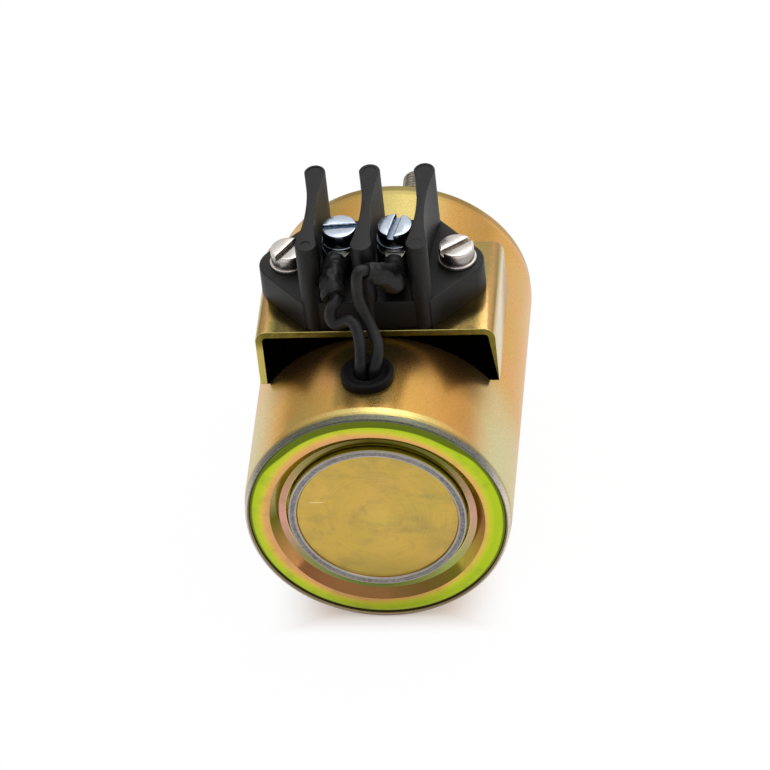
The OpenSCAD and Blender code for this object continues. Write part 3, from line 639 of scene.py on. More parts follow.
# ---- Front bush ----
# A sintered bronze bush pressed into the hub; the push rod slides and turns in it.
def simple_finish(name, metallic, low, high, colours, depth, grain=0.3, lathe=(), dirt=(), **plain):
    """A finish whose colour, and roughness from low to high, follow its fine grain or its turning marks.
    lathe is their (spacing, sweep, contrast), and dirt the (size, amount, share, colour) of smudges."""
    finish, shader, place = coat(name, metallic, (low + high) / 2, **plain)
    if lathe:
        spacing, sweep, contrast = lathe
        marks = use(lathe_marks, place, Spacing=spacing, Sweep=sweep, Contrast=contrast)
        share = marks["Streak"]
    else:
        marks = use(fine_grain, place, Size=grain)
        share = marks["Mottle"]
    colour = tint(share, *colours)
    if dirt:
        size, amount, strength, shade = dirt
        colour = tint(use(smudges, place, Size=size, Amount=amount)["Mask"] * strength, colour, shade)
    dress(shader, colour, share * (high - low) + low, marks["Height"], depth)
    return finish


bronze = simple_finish("sintered_bronze", 1.0, 0.42, 0.42,
                       ((0.30, 0.17, 0.075), (0.56, 0.36, 0.17)), 0.02, 0.12)
rod_r = 2.5
outline = soft_corners([(rod_r + 0.05, front_inner_y), (bush_r, front_inner_y), (bush_r, hub_y, 0.35),
                        (rod_r + 0.05, hub_y, 0.3)])
fit("bronze_bush", as_mesh(*turned(outline, 96)), bronze, "bronze", "front_bush")


# ---- Push rod ----
# Ground steel, pressed into the plunger, with a relief groove and an M5 thread on its outer end.
rod_low, rod_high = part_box("push_rod")
rod_rear_y, rod_tip_y = rod_low.y / MM, rod_high.y / MM
thread_rear_y, thread_l, thread_pitch, thread_depth = rod_tip_y - 11.5, 10.6, 0.8, 0.3
thread_step, groove_r = 0.08, rod_r - 0.45

rod_steel = simple_finish("ground_rod_steel", 1.0, 0.22, 0.34,
                          ((0.24, 0.21, 0.165), (0.40, 0.36, 0.30)), 0.004, lathe=(0.1, 2.0, 1.4),
                          dirt=(5.0, 0.5, 0.35, (0.2, 0.17, 0.12)))


def threaded_radius(y, turn, start, end, outer, depth, pitch):
    """Radius of a thread's flank at a place along it and round it; its ends run out to the root."""
    phase = (y / pitch + turn) % 1.0
    tooth = min(1.0, max(0.0, 1.25 - abs(phase - 0.5) * 3.4))
    fade = min(1.0, max(0.0, (y - start) / pitch)) * min(1.0, max(0.0, (end - y) / pitch))
    return outer - depth * (1 - tooth) * fade


rod_stations = [(rod_rear_y, rod_r), (thread_rear_y - 1.5, rod_r), (thread_rear_y - 1.2, groove_r),
                (thread_rear_y - 0.3, groove_r), (thread_rear_y, rod_r)]
rod_stations += [(thread_rear_y + thread_step * k, None) for k in range(1, int(thread_l / thread_step))]
rod_stations += [(rod_tip_y - 0.4, rod_r - 0.3), (rod_tip_y, rod_r - 0.7)]
sides = 64
rings = []
for y, fixed in rod_stations:
    ring = []
    for k in range(sides):
        a = math.tau * k / sides
        r = fixed if fixed is not None else min(
            threaded_radius(y, k / sides, thread_rear_y, rod_tip_y, rod_r - 0.06, thread_depth, thread_pitch),
            rod_r - max(0.0, y - (rod_tip_y - 0.7)))
        ring.append((r * math.sin(a), y, r * math.cos(a)))
    rings.append(ring)
fit("threaded_rod", as_mesh(*skinned(rings), 40), rod_steel, "rod_steel", "push_rod", body="plunger")


# ---- Saddle bracket ----
# A strip of sheet steel bent into a square saddle and yellow-plated. Its edges are sheared, so they are
# darker and streaked across; four short welds inside the feet hold it to the case. The rounded edges, the
# outer faces of the legs and the low part of the left leg's cut edge carry a painted highlight, and the top
# carries a painted dark reflection of the terminal block towards its rear edge.
def shrunk(outline, depth):
    """A closed outline moved inwards by depth; the outline runs anticlockwise."""
    moved = []
    for i, here in enumerate(outline):
        a = (Vector(here) - Vector(outline[i - 1])).normalized()
        b = (Vector(outline[(i + 1) % len(outline)]) - Vector(here)).normalized()
        normal = Vector((-a.y - b.y, a.x + b.x)).normalized()
        moved.append(Vector(here) + normal * depth / max(0.4, normal.dot(Vector((-a.y, a.x)))))
    return moved


def anticlockwise(outline):
    area = sum(p[0] * outline[(i + 1) % len(outline)][1] - outline[(i + 1) % len(outline)][0] * p[1]
               for i, p in enumerate(outline))
    return list(outline) if area > 0 else list(reversed(outline))


def slab(outline, low, high, edge_low, edge_high, steps=3):
    """Points and faces of an outline carried from low to high, with rounded edges at both ends."""
    outline = anticlockwise(outline)
    levels = sorted((low + edge_low * (1 - math.cos(a)), edge_low * (1 - math.sin(a)))
                    for a in [math.pi / 2 * k / steps for k in range(steps + 1)]) if edge_low else [(low, 0)]
    top = [(high - edge_high * (1 - math.cos(a)), edge_high * (1 - math.sin(a)))
           for a in [math.pi / 2 * k / steps for k in range(steps, -1, -1)]] if edge_high else [(high, 0)]
    return skinned([[(p[0], p[1], z) for p in (shrunk(outline, inset) if inset else outline)]
                    for z, inset in levels + top])


saddle_low, saddle_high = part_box("saddle_bracket")
saddle_w, saddle_top, leg_z = saddle_high.x / MM, saddle_high.z / MM, saddle_low.z / MM
saddle_y = (saddle_low.y + saddle_high.y) / 2 / MM
sheet, bend, ear_hole_r = 1.5, 0.7, 2.1

bracket_film, shader, place = coat("bracket_yellow_chromate", 0.95, 0.3)
film = use(chromate, place, Patch=10.0, Gold=(0.5, 0.35, 0.1, 1), Green=(0.36, 0.34, 0.1, 1),
           Rose=(0.56, 0.32, 0.13, 1), Green_Share=0.85, Rose_Share=0.45)
grain = use(fine_grain, place, Size=0.2)
facing = abs(split(put("ShaderNodeTexCoord", {}, bracket_film.node_tree)["Normal"])[1])
sheared = between(facing, 0.75, 0.95)
streaks = cloud(put("ShaderNodeMapping", {"Vector": place, "Scale": (500, 120, 400)})[0], 1.0, 2.0, 0.5)
axes = split(place)
outward = abs(axes[0])
# Painted highlight on the cut edge of the left leg, low down
left_leg = between(axes[0], -20.5 * MM, -21.6 * MM) * between(axes[2], 25 * MM, 22 * MM)
edge_colour = tint(between(streaks, 0.3, 0.7), (0.13, 0.105, 0.016), (0.24, 0.19, 0.035))
edge_colour = tint(left_leg, edge_colour, (0.58, 0.48, 0.13))
# Painted highlight along the rounded edges of the strip
corner = between(abs(facing - 0.62), 0.3, 0.05)
bent = between(outward, 19.6 * MM, 21.4 * MM) * between(outward, 22.7 * MM, 21.8 * MM)
# Painted dark reflection of the terminal block on the top of the bracket, towards its rear edge
painted_block_reflection = between(film["Thickness"] * (-5 * MM) + axes[1], -39 * MM, -43.5 * MM)
painted_block_reflection = painted_block_reflection * between(outward, 21 * MM, 18.5 * MM) * (grain["Mottle"] * 0.3 + 0.65)
# The bends turn more orange, and the outer faces of the legs get a painted pale highlight
colour = layered(film["Color"], (painted_block_reflection, (0.04, 0.03, 0.008)), (bent * 0.7, (0.66, 0.36, 0.14)),
                 (between(outward, 22.4 * MM, 22.8 * MM), (0.74, 0.6, 0.34)))
colour = layered(colour, (grain["Mottle"], tint(0.66, (0, 0, 0), colour)), (sheared, edge_colour),
                 (corner, (0.86, 0.74, 0.26)))
dress(shader, colour, grain["Mottle"] * 0.1 + sheared * 0.2 + 0.13,
      grain["Height"] * (1.0 - sheared) + streaks * sheared, 0.011)

outer_bend = bend + sheet
outline = soft_corners([
    (-saddle_w, leg_z, 0.15), (-saddle_w, saddle_top, outer_bend), (saddle_w, saddle_top, outer_bend),
    (saddle_w, leg_z, 0.15), (saddle_w - sheet, leg_z, 0.15), (saddle_w - sheet, saddle_top - sheet, bend),
    (sheet - saddle_w, saddle_top - sheet, bend), (sheet - saddle_w, leg_z, 0.15)], 7)
points, faces = slab(outline, saddle_low.y / MM, saddle_high.y / MM, 0.16, 0.16)
strip = as_mesh([(p[0], p[2], p[1]) for p in points], faces)
block_low, block_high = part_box("terminal_block")
ear_low, ear_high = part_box("ear_washers")
ear_washer_r = (ear_high.y - ear_low.y) / 2 / MM
ears_x = [ear_low.x / MM + ear_washer_r, ear_high.x / MM - ear_washer_r]
holes = [plug(x, saddle_y, saddle_top - 4, saddle_top + 2, ear_hole_r) for x in ears_x]
fit("saddle_bracket_bent", cut(strip, holes), bracket_film, "bracket_zinc", "saddle_bracket")


# ---- Bracket welds ----
# Short fillets of weld metal in the wedge between the feet of the bracket and the case, under the
# same plating as the bracket.
weld_film, shader, place = coat("plated_weld", 1.0, 0.35)
lumps = cloud(place, 1500.0, 3.0, 0.6)
dress(shader, tint(between(lumps, 0.3, 0.7), (0.3, 0.2, 0.06), (0.62, 0.42, 0.14)),
      lumps * 0.3 + 0.2, lumps, 0.08)
repaint("bracket_welds", weld_film)


# ---- Terminal block ----
# One moulding of black phenolic: a base with two screw ears, three barrier fins whose sides are
# hollowed out between round posts, and a raised pad in each well that carries a brass insert.
base_h, pad_rise, well_pad_r, insert_hole_r = 6.4, 3.4, 3.9, 3.1
ear_hole_x, moulded_hole_r = 16.05, 2.5
block_x = (block_low.x + block_high.x) / 2 / MM
block_y = (block_low.y + block_high.y) / 2 / MM
block_z, fin_top = block_low.z / MM, block_high.z / MM
base_top = block_z + base_h
half_l = (block_high.y - block_low.y) / 2 / MM
ear_gap = 16.45
ear_r = block_high.x / MM - block_x - ear_gap
fin_pitch, post_r, waist = 10.45, 2.05, 0.8
post_y, body_w, body_l = half_l - post_r, fin_pitch + post_r - 0.35, half_l - 0.6
wells_x = [block_x - fin_pitch / 2, block_x + fin_pitch / 2]

moulded, shader, place = coat("black_phenolic", 0.0, 0.5, Specular_IOR_Level=0.33)
grain = use(fine_grain, place, Size=0.11)
coarse = use(fine_grain, place, Size=0.6)
black = layered(
    tint(coarse["Mottle"], (0.0022, 0.002, 0.002), (0.0052, 0.0048, 0.005)),
    (between(grain["Height"], 0.58, 0.72) * 0.5, (0.05, 0.046, 0.043)),
    (use(smudges, place, Size=2.2, Amount=0.25)["Mask"] * 0.25, (0.03, 0.026, 0.022)))
dress(shader, black, grain["Mottle"] * 0.2 + 0.42, coarse["Height"] * 0.5 + grain["Height"], 0.022)


def touch(point, centre, radius, side):
    """Where a line from a point touches a circle."""
    away = Vector(point) - Vector(centre)
    a = math.atan2(away.y, away.x) + side * math.acos(radius / away.length)
    return Vector(centre) + radius * Vector((math.cos(a), math.sin(a)))


def arc(radius, start, end, steps, x=0.0):
    """Points of an arc about (x, 0), both ends included."""
    angles = [start + (end - start) * k / steps for k in range(steps + 1)]
    return [(x + radius * math.cos(a), radius * math.sin(a)) for a in angles]


def block_outline():
    """The base from above, anticlockwise: straight front and back walls and a round ear on each side."""
    corner = (body_w, body_l)
    first = touch((body_w, -body_l), (ear_gap, 0), ear_r, 1)
    last = touch(corner, (ear_gap, 0), ear_r, -1)
    start = math.atan2(first.y, first.x - ear_gap)
    end = math.atan2(last.y, last.x - ear_gap)
    side = [(body_w, -body_l), *arc(ear_r, start, end, 28, ear_gap), corner]
    return side + [(-x, -y) for x, y in side]


def fin_outline():
    """A fin from above: two round posts joined by a web with hollow-ground sides."""
    sag = post_r - waist
    hollow_r = (post_y ** 2 + sag ** 2) / (2 * sag)
    meet = post_y - 0.15
    side = []
    for k in range(17):
        y = -meet + 2 * meet * k / 16
        side.append((waist + hollow_r - math.sqrt(hollow_r ** 2 - y * y), y))
    lean = math.atan2(0.15, side[-1][0])
    cap = [(x, post_y + y - 0.3) for x, y in arc(post_r, lean, math.pi - lean, 22)[1:-1]]
    cap = [(x, max(y, meet)) if y < meet else (x, y + 0.3 * (y - meet) / (post_r + 0.15)) for x, y in cap]
    half = side + cap
    return half + [(-x, -y) for x, y in half]


def shifted(shape, x, y):
    points, faces = shape
    return [(p[0] + x, p[1] + y, p[2]) for p in points], faces


base = as_mesh(*shifted(slab(block_outline(), block_z, base_top, 0.12, 0.3), block_x, block_y))
joins = [as_mesh(*shifted(slab(fin_outline(), block_z, fin_top, 0.12, 0.13), x, block_y))
         for x in (block_x - fin_pitch, block_x, block_x + fin_pitch)]
for x in wells_x:
    points, faces = turned(soft_corners([
        (0, base_top - 2), (well_pad_r, base_top - 2), (well_pad_r, base_top + pad_rise, 0.2),
        (0, base_top + pad_rise)]), 64)
    joins.append(as_mesh(stood_up(points, x, block_y), faces))
block = cut(base, joins, "UNION")
holes = [plug(x, block_y, block_z - 2, fin_top + 2, r)
         for x, r in ((wells_x[0], insert_hole_r), (wells_x[1], insert_hole_r),
                      (block_x - ear_hole_x, moulded_hole_r), (block_x + ear_hole_x, moulded_hole_r))]
# Shallow marks of the ejector pins on the tops of the fins
for x, y, r, depth in ((block_x - fin_pitch, block_y + post_y, 1.62, 0.12),
                       (block_x - fin_pitch, block_y - post_y + 0.1, 0.95, 0.14),
                       (block_x, block_y + post_y - 0.1, 1.45, 0.08),
                       (block_x + fin_pitch, block_y + post_y - 0.05, 1.62, 0.1),
                       (block_x + fin_pitch, block_y - post_y, 1.2, 0.05)):
    holes.append(plug(x, y, fin_top - depth, fin_top + 1, r - 0.1, 40, 0.1))
fit("terminal_block_moulding", cut(block, holes), moulded, "block_plastic", "terminal_block")


# ---- Terminal inserts ----
# Knurled brass inserts moulded into the wells, tapped M4 for the terminal screws.
insert_brass, shader, place = coat("insert_brass", 1.0, 0.34)
worn = use(smudges, place, Size=1.5, Amount=0.5)["Mask"]
dress(shader, tint(worn * 0.6, (0.68, 0.46, 0.17), (0.3, 0.2, 0.09)), 0.34,
      use(fine_grain, place, Size=0.15)["Height"], 0.01)
repaint("terminal_inserts", insert_brass)


# ---- Terminal screws, washers and ear screws ----
# Slotted cheese-head M4 screws: bright zinc on the terminals, over a split lock washer and a flat
# washer, and plain nickel-plated steel in the ears, over a wide washer. Screwdrivers have bruised
# the slots.
head_r, head_h, slot_w, slot_d = 3.35, 2.7, 1.15, 0.95
washer_r, flat_t, tongue_t, lock_t, screw_hole_r, shank_r = 3.8, 0.8, 0.8, 1.1, 2.1, 1.95
flat_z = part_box("terminal_inserts")[1].z / MM
tongue_z = flat_z + flat_t
lock_z = tongue_z + tongue_t
head_z = lock_z + lock_t
ear_head_z = ear_high.z / MM


def half_head(side, seed, bruise):
    """One half of a slotted head: a D-shaped slab with rounded and bruised edges."""
    lean = math.asin((slot_w / 2) / head_r)
    rim = arc(head_r, lean, math.pi - lean, 36)
    flat = [(rim[-1][0] + (rim[0][0] - rim[-1][0]) * k / 22, slot_w / 2) for k in range(1, 22)]
    points, faces = slab(rim + flat, 0, head_h, 0, 0.2)
    bruised = []
    for x, y, z in points:
        near = max(0.0, 1 - abs(y - slot_w / 2) / 0.45) * max(0.0, min(1.0, (z - (head_h - slot_d)) / 0.6))
        dent = noise.noise(Vector((x * 1.7, z * 0.9, seed))) * bruise * near
        burr = noise.noise(Vector((x * 2.9, 4.1, seed + 9))) * bruise * 0.5 * near
        bruised.append((x * side, (y + dent) * side, z + (burr if z > head_h - 0.5 else 0)))
    return bruised, faces


def slotted_screw(shank, seed, bruise):
    """A screw whose head sits on z = 0, in millimetres at the origin."""
    parts = [as_mesh(*half_head(side, seed + side, bruise)) for side in (1, -1)]
    core, faces = turned(soft_corners([(0, -shank), (shank_r - 0.5, -shank), (shank_r, 0.5 - shank),
                                       (shank_r, 0), (head_r - 0.03, 0.02, 0.1),
                                       (head_r - 0.03, head_h - slot_d), (0, head_h - slot_d)]), 72)
    return cut(as_mesh(stood_up(core), faces), parts, "UNION")


def washer_mesh(outer, thick, edge=0.12):
    points, faces = turned(soft_corners([(screw_hole_r, 0, edge), (outer, 0, edge), (outer, thick, edge),
                                         (screw_hole_r, thick, edge)], 3), 72)
    return as_mesh(stood_up(points), faces)


def lock_washer_mesh():
    """A split spring washer: a square wire through nearly a full turn, its ends slightly apart."""
    outer, inner, sides = 3.75, screw_hole_r + 0.05, 66
    section = soft_corners([(inner, 0, 0.1), (outer, 0, 0.12), (outer, lock_t - 0.16, 0.12),
                            (inner, lock_t - 0.16, 0.1)], 3)
    rings = []
    for k in range(sides + 1):
        a = math.radians(7 + 346 * k / sides)
        lift = 0.16 * k / sides
        slants = [(r, z, a + (z / lock_t - 0.5) * 0.2 * (k in (0, sides))) for r, z in section]
        rings.append([(r * math.cos(slant), r * math.sin(slant), z + lift) for r, z, slant in slants])
    return as_mesh(*skinned(rings))


def dressed(given, geometry, finish):
    """Close a group that makes geometry: it comes out as one mesh in its finish."""
    solid = put("GeometryNodeRealizeInstances", {0: geometry})
    feed(given, {0: put("GeometryNodeSetMaterial", {"Geometry": solid[0], "Material": finish})[0]})


# Sets out copies of one pressed or turned part at given places and angles
layout, taken, given = effect("set out on the block", {
    "Geometry": ("Geometry",), "Part": ("Object",), "Finish": ("Material",)},
    {"Geometry": "Geometry"}, "GeometryNodeTree")
part = put("GeometryNodeObjectInfo", {"Object": taken["Part"]})
angle = put("GeometryNodeInputNamedAttribute", {"Name": "turn"}, layout, data_type="FLOAT")
spin = put("ShaderNodeCombineXYZ", {2: angle[0]})
spread = put("GeometryNodeInstanceOnPoints", {
    "Points": taken["Geometry"], "Instance": part["Geometry"], "Rotation": spin[0]})
dressed(given, spread[0], taken["Finish"])


def grown(mesh, group, **values):
    """The mesh that a geometry group makes of a plain one."""
    holder = bpy.data.objects.new("holder", mesh)
    bpy.context.scene.collection.objects.link(holder)
    step = holder.modifiers.new("grow", "NODES")
    step.node_group = group
    for socket in group.interface.items_tree:
        if socket.name in values:
            step[socket.identifier] = values[socket.name]
    made = evaluated(holder)
    bpy.data.objects.remove(holder)
    return made


def set_out(part, places, finish):
    """Copies of a part at (x, y, z, angle) places in millimetres and degrees, as one mesh."""
    pattern = bpy.data.meshes.new("pattern")
    pattern.from_pydata([Vector(p[:3]) * MM for p in places], [], [])
    turns = pattern.attributes.new("turn", "FLOAT", "POINT")
    turns.data.foreach_set("value", [math.radians(p[3]) for p in places])
    mould = bpy.data.objects.new("mould", part)
    bpy.context.scene.collection.objects.link(mould)
    mesh = grown(pattern, layout, Part=mould, Finish=finish)
    bpy.data.objects.remove(mould)
    return mesh


def screw_metal(name, light, dark, shade, low, high, places_x, top):
    """Plated steel with fine marks. The slots get painted shade, and the upper sides of the heads a painted
    dark reflection, by shade.
    """
    metal, shader, place = coat(name, 1.0, low)
    axes = split(place)
    level = put("ShaderNodeCombineXYZ", {0: axes[0], 1: axes[1]})[0]
    reach = calc("MINIMUM", *[put("ShaderNodeVectorMath", {0: level, 1: (x * MM, saddle_y * MM, 0)},
                                  operation="DISTANCE")["Value"] for x in places_x])
    # Painted shade in the slots, and a painted dark reflection round the upper sides of the heads
    in_slot = between(axes[2], (top - 0.12) * MM, (top - 0.3) * MM) * between(reach, 3.2 * MM, 3.1 * MM)
    on_side = between(axes[2], (top - 0.3) * MM, (top - 0.9) * MM) * between(reach, 3.25 * MM, 3.3 * MM)
    on_side = on_side * between(axes[2], (top - head_h) * MM, (top - head_h + 0.1) * MM)
    fine = use(fine_grain, place, Size=0.3)
    marred = use(smudges, place, Size=1.4, Amount=0.2)["Mask"]
    stretch = {"Vector": place, "Rotation": (0, 0, 0.6), "Scale": (400, 3200, 900)}
    brushed = cloud(put("ShaderNodeMapping", stretch)[0], 1.0, 2.0, 0.6)
    colour = layered(tint(marred * 0.35, light, dark), (between(brushed, 0.45, 0.75) * 0.12, dark),
                     (in_slot * 0.6, dark), (on_side * shade, (0.02, 0.02, 0.022)))
    dress(shader, colour, fine["Mottle"] * (high - low) + low, brushed * 0.7 + fine["Height"], 0.004)
    return metal


bright_zinc = screw_metal("bright_zinc", (0.55, 0.62, 0.71), (0.19, 0.25, 0.33), 0.85, 0.16, 0.26, wells_x,
                          head_z + head_h)
nickel_steel = screw_metal("nickel_steel", (0.66, 0.61, 0.57), (0.28, 0.25, 0.225), 0.45, 0.22, 0.34, ears_x,
                           ear_head_z + head_h)

for name, part, places, finish, slot, node in (
        ("terminal_screws_slotted", slotted_screw(9, 3.0, 0.16),
         [(wells_x[0] - 0.1, saddle_y - 0.1, head_z, 4), (wells_x[1], saddle_y, head_z, 79)],
         bright_zinc, "bright_zinc", "terminal_screws"),
        ("lock_washers_split", lock_washer_mesh(),
         [(wells_x[0], saddle_y, lock_z, 200), (wells_x[1], saddle_y, lock_z, -62)],
         bright_zinc, "bright_zinc", "lock_washers"),
        ("flat_washers_pressed", washer_mesh(washer_r, flat_t),
         [(x, saddle_y, flat_z, 0) for x in wells_x], bright_zinc, "bright_zinc", "flat_washers"),
        ("ear_screws_slotted", slotted_screw(12, 7.0, 0.1),
         [(ears_x[0], saddle_y, ear_head_z, 58), (ears_x[1], saddle_y, ear_head_z, 38)],
         nickel_steel, "nickel_steel", "ear_screws"),
        ("ear_washers_pressed", washer_mesh(ear_washer_r, 0.8, 0.2),
         [(x, saddle_y, base_top, 0) for x in ears_x], nickel_steel, "nickel_steel", "ear_washers")):
    fit(name, set_out(part, places, finish), finish, slot, node)
repaint("ear_nuts", nickel_steel)


# ---- Ring terminals ----
# Stamped and tinned copper: a ring under the screw, a short neck and a barrel crimped on the lead.
tinned, shader, place = coat("tinned_copper", 1.0, 0.34)
worn = use(smudges, place, Size=1.2, Amount=0.5)["Mask"]
fine = use(fine_grain, place, Size=0.2)
dress(shader, tint(worn * 0.5, (0.68, 0.64, 0.54), (0.36, 0.32, 0.26)), fine["Mottle"] * 0.2 + 0.26,
      fine["Height"], 0.01)
barrel_r, ring_r = 1.5, 3.6
left_barrel = [(-6.85, -39.1, 37.5), (-7.2, -41.65, 37.75)]
right_barrel = [(4.2, -39.1, 37.4), (4.3, -41.05, 37.4)]


def smooth_route(route, steps):
    """A Catmull-Rom curve through the points of a route, in millimetres."""
    route = [Vector(p) for p in route]
    made = []
    for i in range(len(route) - 1):
        a, b, c, d = route[max(0, i - 1)], route[i], route[i + 1], route[min(len(route) - 1, i + 2)]
        for k in range(steps):
            t = k / steps
            made.append(0.5 * (2 * b + (c - a) * t + (2 * a - 5 * b + 4 * c - d) * t * t
                               + (3 * b - a - 3 * c + d) * t * t * t))
    return made + [route[-1]]


def swept(route, shape, sides):
    """Rings of points along a route. shape(i, angle) gives the radius of ring i at an angle."""
    rings, across = [], Vector((0.1, 0.05, 1))
    for i, here in enumerate(route):
        ahead = (route[min(len(route) - 1, i + 1)] - route[max(0, i - 1)]).normalized()
        across = (across - across.dot(ahead) * ahead).normalized()
        over = ahead.cross(across)
        rings.append([here + shape(i, math.tau * k / sides) * (
            math.cos(math.tau * k / sides) * across + math.sin(math.tau * k / sides) * over)
            for k in range(sides)])
    return rings


for side, x, barrel in (("left", wells_x[0], left_barrel), ("right", wells_x[1], right_barrel)):
    ring = [(ring_r * math.sin(a), -ring_r * math.cos(a)) for a in map(math.radians, range(36, 325, 8))]
    root_x, root_y = barrel[0][0] - x, barrel[0][1] + 0.4 - saddle_y
    neck = [(root_x + px, root_y + py) for px, py in
            ((-1.6, 0), (-1.1, -0.15), (-1.1, -0.95), (1.1, -0.95), (1.1, -0.15), (1.6, 0))]
    tongue = as_mesh(*shifted(slab(ring + neck, tongue_z, tongue_z + tongue_t, 0.08, 0.12), x, saddle_y))
    crimp = [Vector(barrel[0]).lerp(Vector(barrel[1]), k / 8) for k in range(9)]
    tube = as_mesh(*skinned(swept(crimp, lambda i, a: barrel_r - (0.12 if i in (0, 8) else 0), 32)))
    bored = plug(x, saddle_y, tongue_z - 1, tongue_z + 2, screw_hole_r)
    fit("ring_tongue_" + side, cut(cut(tongue, [tube], "UNION"), [bored]), tinned, "tinned_copper",
        "ring_terminal_" + side)


# ---- Lead wires ----
# Two short stranded leads in black silicone rubber. They are fixed at both ends: crimped in the
# terminals and soldered to the coil inside the case.
left_lead = [
    (-7.2, -42.05, 37.8), (-7.1, -43.8, 38.1), (-7.3, -46.4, 38.4), (-6.7, -48, 37.5),
    (-6, -49.1, 36.9), (-6.9, -50.5, 36.1), (-7.3, -51.4, 34.4), (-6.4, -51.8, 32.9),
    (-4.5, -52, 33.9), (-2.9, -52.8, 34.6), (-1.9, -54.3, 33), (-1.4, -56.5, 30.9),
    (-1.5, -57.9, 28.5), (-1.7, -58.2, 26.5), (-1.7, -58.2, 24), (-1.7, -58.2, 21.4)]
right_lead = [
    (4.3, -41.45, 37.4), (4.5, -43.3, 37.8), (4.1, -45.3, 39), (2.9, -47.1, 40.7),
    (1, -48.6, 42.9), (-0.7, -49.5, 44.2), (-1.5, -50.1, 43.3), (-1.7, -50.5, 41.1),
    (-1.7, -50.8, 38.4), (-0.9, -51.4, 35.7), (0.5, -53, 33.2), (1.6, -55.1, 31.3),
    (1.7, -56.8, 29.8), (1.1, -58, 27.8), (0.7, -58.2, 26), (0.7, -58.2, 21.4)]
wire_r = 1.15


def relaxed(route, passes):
    """The route with its kinks eased out; both ends stay put."""
    for _ in range(passes):
        route = [route[0], *[(a + 2 * b + c) / 4 for a, b, c in zip(route, route[1:], route[2:])], route[-1]]
    return route


rubber = simple_finish("black_silicone_lead", 0.0, 0.4, 0.56,
                       ((0.0052, 0.0048, 0.0050), (0.0095, 0.0090, 0.0092)), 0.02, 0.35,
                       dirt=(2.4, 0.45, 0.3, (0.03, 0.028, 0.027)), Specular_IOR_Level=0.33)

# Gives a line of points a round skin of a named radius, closed at both ends
skin, taken, given = effect("insulated lead", {
    "Geometry": ("Geometry",), "Radius": ("Float",), "Sides": ("Int",), "Finish": ("Material",)},
    {"Geometry": "Geometry"}, "GeometryNodeTree")
line = put("GeometryNodeMeshToCurve", {0: taken["Geometry"]})
section = put("GeometryNodeCurvePrimitiveCircle", {"Resolution": taken["Sides"], "Radius": taken["Radius"]})
tube = put("GeometryNodeCurveToMesh", {"Curve": line[0], "Profile Curve": section[0], "Fill Caps": True})
dressed(given, tube[0], taken["Finish"])


def along_line(route, radius, sides, finish):
    """A round bar along a route in millimetres, as a plain mesh."""
    thread = bpy.data.meshes.new("thread")
    thread.from_pydata([Vector(p) * MM for p in route], [(i, i + 1) for i in range(len(route) - 1)], [])
    return cleaned(grown(thread, skin, Radius=radius * MM, Sides=sides, Finish=finish), 50)


for side, route in (("left", left_lead), ("right", right_lead)):
    bar = along_line(relaxed(smooth_route(route, 8), 14), wire_r, 28, rubber)
    fit("lead_" + side, bar, rubber, "wire_insulation", "lead_wire_" + side)


# ---- Crimp sleeves ----
# Heat-shrunk black sleeves over the crimp barrels. They have drawn down unevenly, so they are
# creased and lumpy, and the right one has set in a high arch over its lead.
shrink, shader, place = coat("shrunk_sleeve", 0.0, 0.44, Specular_IOR_Level=0.27)
fine = use(fine_grain, place, Size=0.5)
broad = use(fine_grain, place, Size=2.0)
scuff = use(smudges, place, Size=1.6, Amount=0.62)["Mask"]
black = tint(broad["Mottle"], (0.0028, 0.0026, 0.0028), (0.0066, 0.0062, 0.0066))
dress(shader, tint(scuff * 0.3, black, (0.05, 0.048, 0.049)), scuff * 0.2 + 0.36,
      fine["Height"] * 0.35 + broad["Height"], 0.12)


def sleeve_mesh(node_name, route, radii, steps, wrinkle, seed, lumps):
    """A hollow sleeve along a route whose outside swells and creases round the given radii. lumps holds
    (place, reach, height) of single bulges and, with a height below zero, hollows."""
    centre = smooth_route(route, steps)
    low, high = (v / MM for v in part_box(node_name))
    sizes = [v[0] for v in smooth_route([(r, 0, 0) for r in radii], steps)]
    last = len(centre) - 1

    def outside(i, a):
        here = centre[i]
        crease = noise.noise(Vector((math.cos(a) * 1.1, math.sin(a) * 1.1, i * 0.17 + seed)))
        fold = noise.noise(Vector((math.cos(a) * 0.6 + seed, i * 0.42, here.z * 0.1)))
        mouth = 0.1 if i in (0, last) else 0
        return sizes[i] + wrinkle * crease + 0.6 * wrinkle * fold - mouth

    def inside(i, a):
        return min(barrel_r + 0.12, sizes[i] - 0.35) if i < steps * 1.4 else wire_r + 0.12

    outer = swept(centre, outside, 72)
    inner = swept(centre, inside, 72)
    for here, ring, bore in zip(centre, outer, inner):
        for k, p in enumerate(ring):
            out = (p - here).normalized()
            swell = sum(height * math.exp(-((p - Vector(spot)).length / reach) ** 2)
                        for spot, reach, height in lumps)
            moved = p + out * max(swell, 0.3 - (p - bore[k]).length)
            ring[k] = Vector([max(a + 0.03, min(b - 0.03, v)) for v, a, b in zip(moved, low, high)])
    return as_mesh(*skinned(outer + list(reversed(inner)), closed=True), 60)


